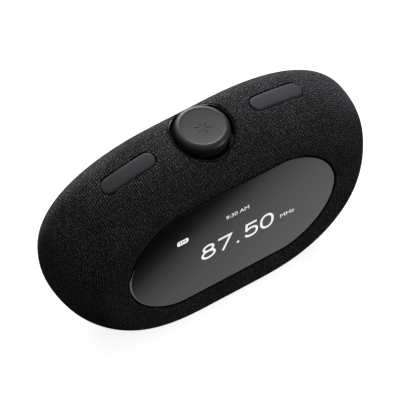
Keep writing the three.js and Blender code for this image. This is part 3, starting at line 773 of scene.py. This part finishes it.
# %% Sizes and cutters for the socket frame
FRAME_DEPTH = 0.6 * MM           # how far the frame lies below the cloth
FRAME_THICKNESS = 3 * MM
FRAME_BLANK = (50 * MM, 18 * MM)  # the sheet it is trimmed from
FRAME_CORNER = 0.45 * PORT_CORNER
FRAME_LAP = 0.15 * MM            # how far it passes the opening's outline
FRAME_BEVEL = 0.28 * MM
SOCKET_GAP = 0.7 * MM            # how much wider a hole is than its socket
TRIM_REACH, PIERCE_REACH = 14 * MM, 16 * MM
frame_half = (PORT_HALF[0] + FRAME_LAP, PORT_HALF[1] + FRAME_LAP)
frame_pattern = Pattern(PORT_MIDDLE, -X, Z, rectangle_line(frame_half, FRAME_CORNER))


def block(outline, size, near, far, count=64):
    """A straight block with a pattern's outline, as a cutter."""
    profile = [(None, near), (0, near), (0, far), (None, far)]
    return raise_rings("cutter", pattern_rings(outline, size, profile, count, False))


def cut(piece, cutter, operation):
    """Trims or pierces a piece with a cutter, which is then thrown away."""
    apply_modifier(piece, "BOOLEAN", object=cutter, operation=operation, solver="EXACT")
    bpy.data.objects.remove(cutter, do_unlink=True)


print("the frame lies", FRAME_DEPTH / MM, "mm below the cloth")

# %% [markdown]
# The blank is a flat grid laid on the body a little below the cloth. Which way its faces
# point decides which way its thickness grows, so that is asked before it is thickened.

# %% Lay, trim and pierce the frame
bpy.ops.object.select_all(action="DESELECT")
bpy.ops.mesh.primitive_grid_add(x_subdivisions=32, y_subdivisions=12, size=1)
surround = bpy.context.object
surround.name = "socket_frame"
flat = np.array([v.co for v in surround.data.vertices])
p, q = flat[:, 0] * FRAME_BLANK[0], flat[:, 1] * FRAME_BLANK[1]
places = frame_pattern.onto_body(p, q) - FRAME_DEPTH * frame_pattern.out
place_corners(surround, places)
face_up = surround.data.polygons[0].normal.dot(Vector(frame_pattern.out)) > 0
apply_modifier(surround, "SOLIDIFY", thickness=FRAME_THICKNESS, offset=-1 if face_up else 1)
face_outwards(surround)
cut(surround, block(frame_pattern, PORT_HALF, -TRIM_REACH, TRIM_REACH, 96), "INTERSECT")
sockets = {"power_inlet": 1.7 * MM, "usb_socket": 0.9 * MM, "aerial_gland": 2.6 * MM}
for socket, corner in sockets.items():
    low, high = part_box(socket)
    half = Vector((high.x - low.x + SOCKET_GAP, high.z - low.z + SOCKET_GAP)) / 2
    middle = Vector(((low.x + high.x) / 2, PORT_MIDDLE.y, (low.z + high.z) / 2))
    hole = Pattern(middle, -X, Z, rectangle_line(half, min(corner, half.x, half.y)))
    cut(surround, block(hole, half, -PIERCE_REACH, PIERCE_REACH), "DIFFERENCE")
apply_modifier(surround, "BEVEL", width=FRAME_BEVEL, segments=3, limit_method="ANGLE",
               angle_limit=math.radians(50), use_clamp_overlap=True)
only(surround)
bpy.ops.object.shade_smooth_by_angle(angle=math.radians(40))
settle(surround, "housing", "shell", "port_plate")
print("the socket frame has", len(surround.data.polygons), "faces")

# %% [markdown]
# ## The foot
#
# The foot is a die-cut rubber oval with a soft edge and one shallow channel round it, which
# keeps it from sucking onto a polished table.

# %% The foot
FOOT_INSET = 11 * MM             # from the edge of the flat base
foot_profile = [(None, 0.02 * MM), (0, 0.02 * MM), (0, 1.1 * MM), (0.12 * MM, 1.36 * MM),
                (0.4 * MM, 1.5 * MM), (3.0 * MM, 1.5 * MM), (3.15 * MM, 1.15 * MM),
                (3.85 * MM, 1.15 * MM), (4.0 * MM, 1.5 * MM), (None, 1.5 * MM)]
foot_size = (BASE_HALF[0] - FOOT_INSET, BASE_HALF[1] - FOOT_INSET)
foot = raise_rings("rubber_foot", pattern_rings(base_pattern(-FOOT_INSET), foot_size,
                                                foot_profile, 160, False))
settle(foot, "housing", "rubber", "foot_pad")
print("the foot is", round((foot_high.x - foot_low.x) / MM), "mm long")

# %% [markdown]
# ## The readout
#
# The readout is lit from behind through the smoked lens. Its figures are thin strips of one
# width, bent into shape, so each figure is drawn as a path and given its width afterwards.
# The small words are type set as text and turned into meshes. Everything is laid on the
# lens in the lens's own plane.

# %% Strips of light
FIGURE_HEIGHT = 10.9 * MM
STROKE = 1.45 * MM
GLOW_LIFT = 0.03 * MM


def on_lens(points, lift):
    """Carries flat places, measured from the window's middle, onto the window."""
    points = np.asarray(points, float)
    return np.array(FACE_CENTRE) + points[:, :1] * np.array(X) + points[:, 1:2] * np.array(FACE_UP) \
        + lift * np.array(FACE_OUT)


def smooth_path(corners, count=40):
    """A curve through corner points, evenly stepped."""
    corners = np.asarray(corners, float)
    steps = np.linspace(0, len(corners) - 1, count)
    padded = np.vstack([2 * corners[0] - corners[1], corners, 2 * corners[-1] - corners[-2]])
    index = np.minimum(steps.astype(int), len(corners) - 2)
    t = (steps - index)[:, None]
    a, b, c, d = (padded[index + shift] for shift in range(4))
    return 0.5 * (2 * b + (c - a) * t + (2 * a - 5 * b + 4 * c - d) * t ** 2
                  + (3 * b - a - 3 * c + d) * t ** 3)


def ring_path(middle, half, squareness, count=56):
    """A closed path round an oval, rounder or squarer by its power."""
    angles = np.linspace(0, 2 * math.pi, count)
    wide, tall = np.cos(angles), np.sin(angles)
    return np.stack([middle[0] + half[0] * np.sign(wide) * np.abs(wide) ** (2 / squareness),
                     middle[1] + half[1] * np.sign(tall) * np.abs(tall) ** (2 / squareness)], 1)


def strip(path, spot, width=STROKE):
    """A flat strip of one width along a path, laid on the window."""
    path = np.asarray(path, float) * MM
    closed = np.hypot(*(path[0] - path[-1])) < 1e-7
    steps = np.diff(path, axis=0)
    steps /= np.hypot(steps[:, 0], steps[:, 1])[:, None]
    before = np.vstack([steps[-1:] if closed else steps[:1], steps])
    after = np.vstack([steps, steps[:1] if closed else steps[-1:]])
    tangent = before + after
    tangent /= np.hypot(tangent[:, 0], tangent[:, 1])[:, None]
    mitre = np.maximum((tangent * after).sum(1), 0.5)
    normal = np.stack([-tangent[:, 1], tangent[:, 0]], 1) / mitre[:, None]
    bpy.ops.object.select_all(action="DESELECT")
    bpy.ops.mesh.primitive_grid_add(x_subdivisions=len(path) - 1, y_subdivisions=1, size=1)
    piece = bpy.context.object
    corners = np.array([v.co for v in piece.data.vertices])
    step = np.rint((corners[:, 0] + 0.5) * (len(path) - 1)).astype(int)
    side = np.sign(corners[:, 1])[:, None]
    flat = path[step] + normal[step] * side * width / 2 + np.asarray(spot)
    place_corners(piece, on_lens(flat, GLOW_LIFT))
    return piece


print("strips are", STROKE / MM, "mm wide")

# %% [markdown]
# Figures on such a display are drawn, not typed: an eight is two rings, a nought is one, a
# seven is one bent strip and a five is a bent strip and a hook. Paths are in millimetres from
# each figure's own middle, and the figures are joined into one lit piece.

# %% The large figures
FIGURE_LEVEL = -5.2 * MM
TOP = (FIGURE_HEIGHT - STROKE) / 2 / MM
NECK = 0.45                      # where the two rings of the eight meet
EIGHT, SEVEN, POINT, FIVE, NOUGHT = [(spot * MM, 0) for spot in (-16.3, -5.6, 3.0, 11.7, 22.0)]
hook = [(-3.35, -0.15), (-1.9, 0.85), (0.3, 1.25), (2.9, 0.45), (3.75, -1.75), (2.8, -4.0),
        (0.2, -TOP), (-2.5, -4.25), (-3.9, -2.9)]
figures = [
    strip(ring_path((0, NECK + (TOP - NECK) / 2), (3.1, (TOP - NECK) / 2), 2.1), EIGHT),
    strip(ring_path((0, NECK - (TOP + NECK) / 2), (3.95, (TOP + NECK) / 2), 2.1), EIGHT),
    strip([(-4.3, TOP), (4.0, TOP), (-1.4, -TOP - 0.5)], SEVEN),
    strip([(3.6, TOP), (-2.9, TOP), (-3.3, 0.0)], FIVE),
    strip(smooth_path(hook), FIVE),
    strip(ring_path((0, 0), (3.75, TOP), 2.25), NOUGHT),
    strip(ring_path((0, -TOP + 0.1), (0.42, 0.42), 2, 24), POINT, 0.85 * MM),
]
only(figures[0])
for figure in figures:
    figure.data.transform(Matrix.Translation(FACE_UP * FIGURE_LEVEL))
    figure.select_set(True)
bpy.ops.object.join()
readout = bpy.context.object
readout.name = "frequency_figures"
print("the figures are", round(FIGURE_HEIGHT / MM, 1), "mm tall")

# %% [markdown]
# The small words are too fine to draw as listed paths, so they are set as text, turned into meshes
# and laid on the window. The badge is a rounded bar of light with dark letters on it. The words
# and the figures get a film's thickness, because a piece must have two sides.

# %% The small words and the badge
SMALL_SIZE, BADGE_SIZE = 4.0 * MM, 3.1 * MM
CLOCK_SPOT = (3.0 * MM, 13.4 * MM)
UNIT_SPOT = (35.3 * MM, -7.4 * MM)
BADGE_SPOT = (-32.8 * MM, 12.6 * MM)
BADGE_HALF = (3.6 * MM, 1.8 * MM)
FILM = 0.02 * MM


def set_type(name, words, size, spot, lift=GLOW_LIFT, stretch=1.0):
    """Words as a flat mesh on the window, centred on a spot."""
    bpy.ops.object.select_all(action="DESELECT")
    bpy.ops.object.text_add()
    piece = bpy.context.object
    piece.data.body = words
    piece.data.align_x, piece.data.align_y = "CENTER", "CENTER"
    piece.data.size = size
    piece.data.resolution_u = 5
    bpy.ops.object.convert(target="MESH")
    piece = bpy.context.object
    piece.name = name
    flat = np.array([v.co for v in piece.data.vertices])[:, :2] * (stretch, 1) + np.asarray(spot)
    place_corners(piece, on_lens(flat, lift))
    return piece


clock = set_type("clock_words", "9:30 AM", SMALL_SIZE, CLOCK_SPOT, stretch=1.12)
unit = set_type("unit_words", "MHz", SMALL_SIZE, UNIT_SPOT, stretch=1.25)
badge_pattern = Pattern(FACE_CENTRE + X * BADGE_SPOT[0] + FACE_UP * BADGE_SPOT[1], X, FACE_UP,
                        rectangle_line(BADGE_HALF, 0.35 * MM))
badge_profile = [(None, 0.005 * MM), (0, 0.005 * MM), (0, GLOW_LIFT), (None, GLOW_LIFT)]
badge = raise_rings("band_badge", pattern_rings(badge_pattern, (3.7 * MM, 1.9 * MM),
                                                badge_profile, 64, False))
badge_word = set_type("badge_words", "FM", BADGE_SIZE, BADGE_SPOT, 2 * GLOW_LIFT, 1.15)
for piece in (readout, clock, unit, badge_word):
    apply_modifier(piece, "SOLIDIFY", thickness=FILM, offset=0)
for piece in (readout, clock, unit, badge, badge_word):
    settle(piece, "housing", "white" if piece is not badge_word else "black")
print("the readout has five parts")

# %% [markdown]
# ## Finishes
#
# Every finish is built from nodes, on the object's own coordinates or on the cloth's thread
# map. Both are in metres, so each grain has a true size. A small helper adds a node, sets its
# plain values and links the rest.

# %% A helper for nodes
def start_finish(name, **values):
    """A new finish with some of its plain values set."""
    material = bpy.data.materials.new(name)
    material.use_nodes = True
    tree = material.node_tree
    shader = tree.nodes["Principled BSDF"]
    for socket, value in values.items():
        shader.inputs[socket.replace("_", " ")].default_value = value
    return material, tree, shader


def add(tree, kind, inputs=(), **settings):
    """Adds a node. Inputs are (socket, value or output socket) pairs."""
    node = tree.nodes.new("ShaderNode" + kind)
    for name, value in settings.items():
        setattr(node, name, value)
    for socket, value in inputs:
        if isinstance(value, bpy.types.NodeSocket):
            tree.links.new(value, node.inputs[socket])
        else:
            node.inputs[socket].default_value = value
    return node


def number(tree, operation, a, b=0.0):
    """A number worked out from two others."""
    return add(tree, "Math", [(0, a), (1, b)], operation=operation).outputs[0]


def vector(tree, operation, a, b):
    """A vector worked out from two others."""
    return add(tree, "VectorMath", [(0, a), (1, b)], operation=operation).outputs[0]


def scaled(tree, value, factor):
    return add(tree, "VectorMath", [(0, value), ("Scale", factor)], operation="SCALE").outputs[0]


def own_place(tree):
    """A place on the object in metres, which a pattern is drawn on."""
    return add(tree, "TexCoord").outputs["Object"]


def span(tree, value, low, high, to_low=0.0, to_high=1.0):
    """Carries a range of numbers to another, and keeps to its ends."""
    return add(tree, "MapRange", [("Value", value), ("From Min", low), ("From Max", high),
                                  ("To Min", to_low), ("To Max", to_high)]).outputs[0]


def blend_colours(tree, share, first, second):
    """A colour between two. A Mix node repeats its socket names, so they are set by number."""
    node = tree.nodes.new("ShaderNodeMix")
    node.data_type = "RGBA"
    for index, value in ((0, share), (6, first), (7, second)):
        if isinstance(value, bpy.types.NodeSocket):
            tree.links.new(value, node.inputs[index])
        else:
            node.inputs[index].default_value = value
    return node.outputs[2]


def grey(level, blue=1.0):
    return (level, level, level * blue, 1.0)


def cloud(tree, where, scale, detail=2.0, roughness=0.5):
    """Soft noise between 0 and 1."""
    return add(tree, "TexNoise", [("Vector", where), ("Scale", scale), ("Detail", detail),
                                  ("Roughness", roughness)]).outputs["Fac"]


def bump(tree, shader, height, strength, distance):
    node = add(tree, "Bump", [("Height", height), ("Strength", strength), ("Distance", distance)])
    tree.links.new(node.outputs["Normal"], shader.inputs["Normal"])


print("ready to mix finishes")

# %% [markdown]
# The cloth is a plain weave of charcoal yarn with paler fibres spun in. Two sets of ribs, one
# for each direction of thread, cross at the pitch of the real weave. Where a lengthwise
# thread passes over, its rib wins, and so on by turns. Paler flecks come from noise that is
# drawn out along the threads, and a little sheen stands in for loose fibre ends. The thread
# map bunches up where its lines meet at the two tips, so there the weave is laid straight on.

# %% The cloth's finish
PITCH_LENGTHWISE = 1.4 * MM
PITCH_CROSSWISE = 1.15 * MM
WANDER = 0.35 * MM               # how far a thread strays from its line
FIBRE_FINE, FIBRE_LONG = 2100.0, 1000.0
TIP_FACING = (0.8, 0.9)          # how squarely the cloth must face the tip

weave, tree, shader = start_finish("charcoal_weave", Roughness=0.9, Sheen_Weight=0.06,
                                   Sheen_Roughness=0.45, Sheen_Tint=(0.75, 0.82, 0.95, 1),
                                   Specular_IOR_Level=0.05)
place = own_place(tree)
wobble = add(tree, "TexNoise", [("Vector", place), ("Scale", 260.0), ("Detail", 2.0)])
shift = scaled(tree, vector(tree, "SUBTRACT", wobble.outputs["Color"], (0.5, 0.5, 0.5)), WANDER)


def woven(threads):
    """The height of a plain weave and the paler fibres in it, on a map in metres of cloth."""
    threads = vector(tree, "ADD", threads, shift)
    parts = add(tree, "SeparateXYZ", [(0, threads)])
    turn_x = number(tree, "MULTIPLY", parts.outputs[0], math.pi / PITCH_LENGTHWISE)
    turn_y = number(tree, "MULTIPLY", parts.outputs[1], math.pi / PITCH_CROSSWISE)
    wave_x, wave_y = number(tree, "SINE", turn_x), number(tree, "SINE", turn_y)
    over = span(tree, number(tree, "MULTIPLY", wave_x, wave_y), -0.35, 0.35)
    under = number(tree, "SUBTRACT", 1.0, over)
    height = number(tree, "ADD", number(tree, "MULTIPLY", number(tree, "ABSOLUTE", wave_y), over),
                    number(tree, "MULTIPLY", number(tree, "ABSOLUTE", wave_x), under))
    drawn = [cloud(tree, vector(tree, "MULTIPLY", threads, scale), 1.0, 1.0)
             for scale in ((FIBRE_FINE, FIBRE_LONG, 1.0), (FIBRE_LONG, FIBRE_FINE, 1.0))]
    fibre = add(tree, "Mix", [("Factor", over), ("A", drawn[0]), ("B", drawn[1])]).outputs["Result"]
    return height, span(tree, fibre, 0.46, 0.68)


along_threads = add(tree, "UVMap", uv_map="threads").outputs["UV"]
sides = add(tree, "SeparateXYZ", [(0, place)])
across_tip = add(tree, "CombineXYZ", [(0, sides.outputs[2]), (1, sides.outputs[1])]).outputs[0]
facing = add(tree, "SeparateXYZ", [(0, add(tree, "TexCoord").outputs["Normal"])]).outputs[0]
tip_share = span(tree, number(tree, "ABSOLUTE", facing), *TIP_FACING)
weave_height, fleck = (
    add(tree, "Mix", [("Factor", tip_share), ("A", on_body), ("B", on_tip)]).outputs["Result"]
    for on_body, on_tip in zip(woven(along_threads), woven(across_tip)))
# Where the weave dips, the pale flecks fade and the yarn turns near black: painted shade between the
# threads.
lit = number(tree, "MULTIPLY", fleck, span(tree, weave_height, 0.35, 0.9))
patch = span(tree, cloud(tree, place, 45.0, 3.0), 0.3, 0.7, 0.8, 1.2)
yarn = blend_colours(tree, span(tree, weave_height, 0.42, 0.85), grey(0.0005, 1.1), grey(0.019, 1.12))
yarn = blend_colours(tree, lit, yarn, grey(0.17, 1.06))
yarn = scaled(tree, yarn, patch)
tree.links.new(yarn, shader.inputs["Base Color"])
relief = number(tree, "ADD", weave_height, number(tree, "MULTIPLY", fleck, 0.25))
bump(tree, shader, relief, 0.8, 0.22 * MM)
cloth.data.materials[0] = weave
print("the weave repeats every", round(2 * PITCH_LENGTHWISE / MM, 2), "mm")

# %% [markdown]
# Where the cloth is tucked in, its threads are squeezed together and glued, so no weave
# shows. Its near-black colour is painted shade, the shade that falls in the gap round each opening.

# %% The tucked hem's finish, a painted shade
hem, tree, shader = start_finish("cloth_hem_painted_shade", Roughness=0.95, Specular_IOR_Level=0.1)
place = own_place(tree)
strands = cloud(tree, place, 900.0, 3.0)
tree.links.new(blend_colours(tree, strands, grey(0.0003), grey(0.0025, 1.1)),
               shader.inputs["Base Color"])
bump(tree, shader, strands, 0.6, 0.1 * MM)
cloth.data.materials[1] = hem
print("the hem covers", int(tucked.sum()), "faces of the cut cloth")

# %% [markdown]
# The window is smoked acrylic with a painted reflection of a pale room: its colour and faint glow
# are darkest at the upper corner near the knob's left and brighten towards the lower right, in a
# smooth slope across the window, and its coat of gloss follows the same slope. The bevel has a fine
# etched grain; its lower side's pale glow is a painted highlight, its upper side's near black is painted
# shade.

# %% The window's finish
REFLECTION_SLOPE = math.radians(26.5)
REFLECTION_START, REFLECTION_END = -47 * MM, 50 * MM
REFLECTION_GLOW = 0.69               # glow that paints the pale room's reflection, and sets how pale its light side is
REFLECTION_TONE = 1.4
EDGE_HIGHLIGHT_GLOW = 0.1
ETCHING = 900.0                  # noise cells per metre
REFLECTION_DRIFT_DEPTH = 6 * MM              # how far the painted reflection's slope drifts
FRONT_FACING = 0.985             # faces turned further away belong to the bevel
smoked, tree, shader = start_finish("smoked_acrylic_painted_reflection", Roughness=0.16, Specular_IOR_Level=0.05,
                                    Coat_Roughness=0.06, Coat_IOR=1.45)
place = own_place(tree)
reflection_axis = X * math.sin(REFLECTION_SLOPE) - FACE_UP * math.cos(REFLECTION_SLOPE)
along_reflection = add(tree, "VectorMath", [(0, place), (1, reflection_axis)],
                 operation="DOT_PRODUCT").outputs["Value"]
from_middle = number(tree, "SUBTRACT", along_reflection, FACE_CENTRE.dot(reflection_axis))
reflection_drift = number(tree, "MULTIPLY", number(tree, "SUBTRACT", cloud(tree, place, 30.0), 0.5), REFLECTION_DRIFT_DEPTH)
reflection_share = span(tree, number(tree, "ADD", from_middle, reflection_drift), REFLECTION_START, REFLECTION_END)
ramp = add(tree, "ValToRGB", [(0, reflection_share)])
ramp.color_ramp.interpolation = "B_SPLINE"
stops = ramp.color_ramp.elements
for position, level in ((0.0, 0.0025), (0.1, 0.0035), (0.2, 0.013), (0.3, 0.042), (0.42, 0.066),
                        (0.56, 0.082), (0.8, 0.104), (1.0, 0.12)):
    stop = stops.new(position) if 0 < position < 1 else stops[-int(position)]
    stop.color = (level * 0.98, level * 1.02, level, 1)
# The ramp is the painted reflection, given both as glow and as base colour.
tree.links.new(ramp.outputs["Color"], shader.inputs["Emission Color"])
shader.inputs["Emission Strength"].default_value = REFLECTION_GLOW
tree.links.new(scaled(tree, ramp.outputs["Color"], REFLECTION_TONE), shader.inputs["Base Color"])
tree.links.new(span(tree, reflection_share, 0.2, 0.6, 0.0, 0.35), shader.inputs["Coat Weight"])


def frosted(name, dark, light, **values):
    """A finely etched surface between two greys."""
    finish, tree, shader = start_finish(name, **values)
    etching = cloud(tree, own_place(tree), ETCHING)
    tree.links.new(blend_colours(tree, etching, grey(dark), grey(light)),
                   shader.inputs["Base Color"])
    return finish


# The lower bevel's paler grey and faint glow paint a highlight along the window's lower edge.
bevel_highlight = frosted("bevel_painted_highlight", 0.05, 0.09, Roughness=0.3, Specular_IOR_Level=0.6,
                      Emission_Color=grey(EDGE_HIGHLIGHT_GLOW), Emission_Strength=1.0)
# The upper bevel's near black paints the shade that the cloth casts on it.
bevel_shade = frosted("shaded_bevel", 0.002, 0.004, Roughness=0.5, Specular_IOR_Level=0.1)
for finish in (smoked, bevel_highlight, bevel_shade):
    lens.data.materials.append(finish)
# Faces turned away from the front take the bevel finishes: lower ones the painted highlight, upper ones
# the painted shade.
for face in lens.data.polygons:
    if face.normal.dot(FACE_OUT) < FRONT_FACING:
        face.material_index = 1 if face.normal.dot(FACE_UP) < 0.1 else 2
print("the window's edge has", sum(face.material_index > 0 for face in lens.data.polygons), "faces")

# %% [markdown]
# The remaining finishes are moulded plastics, rubber, metals and a circuit board. Plastics
# share one recipe: a spark-eroded grain of the right size, a faint drift of colour, and a
# roughness that drifts with it. Metals add brushing drawn out along one axis.

# %% Moulded and machined finishes
BRUSHING = (60.0, 2400.0, 2400.0)


def moulded(name, level, roughness, grain=2600.0, depth=0.02 * MM, blue=1.03, strength=0.5,
            **values):
    """A moulded finish. The grain is in noise cells per metre and its depth in metres."""
    material, tree, shader = start_finish(name, **values)
    place = own_place(tree)
    fine = cloud(tree, place, grain, 3.0, 0.6)
    drift = cloud(tree, place, 70.0, 3.0)
    shade = number(tree, "ADD", number(tree, "MULTIPLY", fine, 0.5), number(tree, "MULTIPLY", drift, 0.5))
    tree.links.new(blend_colours(tree, span(tree, shade, 0.3, 0.7), grey(level * 0.82, blue),
                                 grey(level * 1.18, blue)), shader.inputs["Base Color"])
    tree.links.new(span(tree, drift, 0.3, 0.7, roughness * 0.9, roughness * 1.1),
                   shader.inputs["Roughness"])
    bump(tree, shader, fine, strength, depth)
    return material


def machined(name, colour, roughness):
    """A brushed metal, with its brushing along the object's length."""
    material, tree, shader = start_finish(name, Metallic=1.0)
    place = own_place(tree)
    lines = cloud(tree, vector(tree, "MULTIPLY", place, BRUSHING), 1.0, 3.0)
    dark = tuple(part * 0.8 for part in colour) + (1,)
    tree.links.new(blend_colours(tree, lines, dark, tuple(colour) + (1,)), shader.inputs["Base Color"])
    tree.links.new(span(tree, lines, 0.3, 0.7, roughness * 0.8, roughness * 1.25),
                   shader.inputs["Roughness"])
    bump(tree, shader, lines, 0.3, 0.01 * MM)
    return material


print("ready to mould and machine")

# %% [markdown]
# Each carried part already names a plain finish. A table gives every such name its real
# finish, so boards, screws, cones and magnets are dressed by one loop.

# %% The table of finishes
finishes = {
    "fabric": weave,
    "lens": smoked,
    "shell": moulded("shell_plastic", 0.012, 0.55),
    "well": moulded("well_plastic", 0.003, 0.36, 1800.0, 0.004 * MM, Specular_IOR_Level=0.15),
    "knob": moulded("knob_plastic", 0.024, 0.48, 3200.0, 0.01 * MM, 1.18, Specular_IOR_Level=0.3),
    "button": moulded("button_rubber", 0.037, 0.66, 3000.0, 0.014 * MM, 1.18,
                      Specular_IOR_Level=0.25),
    "rubber": moulded("foot_rubber", 0.014, 0.8, 1500.0, 0.04 * MM),
    "board": moulded("circuit_board", 0.03, 0.4, 900.0, 0.02 * MM, 1.5),
    "steel": machined("zinc_steel", (0.56, 0.57, 0.58), 0.34),
    "dark_metal": machined("dark_metal", (0.09, 0.09, 0.095), 0.4),
    "black": moulded("black_plastic", 0.01, 0.45),
    "white": moulded("white_plastic", 0.72, 0.5, 2000.0, 0.01 * MM, 0.97),
    "cone": moulded("pressed_paper", 0.02, 0.85, 700.0, 0.06 * MM),
    "copper": machined("copper", (0.72, 0.36, 0.18), 0.3),
}
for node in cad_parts.values():
    wanted = node.data.materials[0].name.split(".")[0]
    node.data.materials[0] = finishes[wanted]
print("there are", len(finishes), "finishes")

# %% [markdown]
# The readout gives its own light, a shade under full white. Then the modelled pieces are
# dressed, each with the finish listed for it.

# %% Light in the readout
READOUT_GLOW = 0.95


def dress(piece, finish):
    piece.data.materials.clear()
    piece.data.materials.append(finish)


glow, tree, shader = start_finish("readout_glow", Roughness=0.5, Specular_IOR_Level=0.0)
place = own_place(tree)
flicker = span(tree, cloud(tree, place, 3000.0), 0.3, 0.7, 0.93, 1.0)
lamp = add(tree, "CombineColor", [(0, flicker), (1, flicker), (2, flicker)]).outputs[0]
tree.links.new(lamp, shader.inputs["Emission Color"])
shader.inputs["Emission Strength"].default_value = READOUT_GLOW
shader.inputs["Base Color"].default_value = grey(0.02)
left_bar, right_bar = bpy.data.objects["left_bar"], bpy.data.objects["right_bar"]
for piece, wanted in ((surround, "shell"), (knob, "knob"), (mark, "knob"), (cup, "well"),
                      (foot, "rubber"), (badge_word, "black"), (left_bar, "button"),
                      (right_bar, "button")):
    dress(piece, finishes[wanted])
for piece in (readout, clock, unit, badge):
    dress(piece, glow)
print("the readout is lit")

# %% [markdown]
# ## The studio
#
# The object stands on a plain pale floor that glows a little itself, so its shadow stays
# faint. The floor is hidden from the light that bounces between things, because a white floor
# would wash out the dark cloth.

# %% The floor
FLOOR_DROP = 0.05 * MM           # just under the foot, so the two faces don't fight
bpy.ops.object.select_all(action="DESELECT")
bpy.ops.mesh.primitive_plane_add(size=6.0)
floor = bpy.context.object
floor.name = "floor"
floor_paint, tree, shader = start_finish("floor_paint", Roughness=0.9, Specular_IOR_Level=0.0)
shader.inputs["Base Color"].default_value = grey(0.45)
shader.inputs["Emission Color"].default_value = grey(1.0)
shader.inputs["Emission Strength"].default_value = 0.86
floor.data.materials.append(floor_paint)
floor.data.transform(Matrix.Translation((0, 0, -FLOOR_DROP)))
floor.visible_diffuse = False
floor.visible_glossy = False
print("the floor is", floor.dimensions.x, "m wide")

# %% [markdown]
# A large soft lamp stands behind and to the right, so the crown and the right end are
# brightest and the left end falls away. A small one in front catches the right end. A third
# is seen only by glossy surfaces and draws a soft gleam on the knob's shoulder.

# %% The lamps
def soft_light(name, place, power, size, aim=Vector((0, 0, 0.05))):
    """A round lamp at a place in metres, turned towards the middle of the body."""
    lamp = bpy.data.lights.new(name, "AREA")
    lamp.shape = "DISK"
    lamp.size = size
    lamp.energy = power
    holder = bpy.data.objects.new(name, lamp)
    bpy.context.scene.collection.objects.link(holder)
    place = Vector(place)
    holder.matrix_world = Matrix.Translation(place) @ (aim - place).to_track_quat("-Z", "Y") \
        .to_matrix().to_4x4()
    return holder


soft_light("high_light", (0.32, 0.78, 0.4), 15.6, 0.6)
soft_light("edge_light", (0.78, -0.62, 0.42), 1.1, 0.24)
gleam = soft_light("gleam_light", (0.62, -0.85, 0.24), 4.5, 0.25)
gleam.visible_diffuse = False
print("three lamps are lit")

# %% [markdown]
# The world is pale above and dark at the horizon and below it, so the upper surfaces are
# filled and the front of the body stays in shade.

# %% The world
world = bpy.context.scene.world or bpy.data.worlds.new("studio")
bpy.context.scene.world = world
world.use_nodes = True
sky = world.node_tree
backdrop = sky.nodes["Background"]
upwards = add(sky, "SeparateXYZ", [(0, add(sky, "TexCoord").outputs["Generated"])]).outputs[2]
fade = add(sky, "ValToRGB", [(0, span(sky, upwards, -1.0, 1.0))])
fade.color_ramp.elements[0].color = grey(0.03)
fade.color_ramp.elements[1].color = grey(1.0)
for position, level in ((0.45, 0.03), (0.6, 0.04), (0.8, 0.3)):
    fade.color_ramp.elements.new(position).color = grey(level)
sky.links.new(fade.outputs["Color"], backdrop.inputs["Color"])
backdrop.inputs["Strength"].default_value = 0.8
bpy.context.scene.view_settings.view_transform = "Standard"
print("the world is pale overhead")

# %% [markdown]
# Last, a closing line is printed.

# %% Finish
print("the speaker is finished")
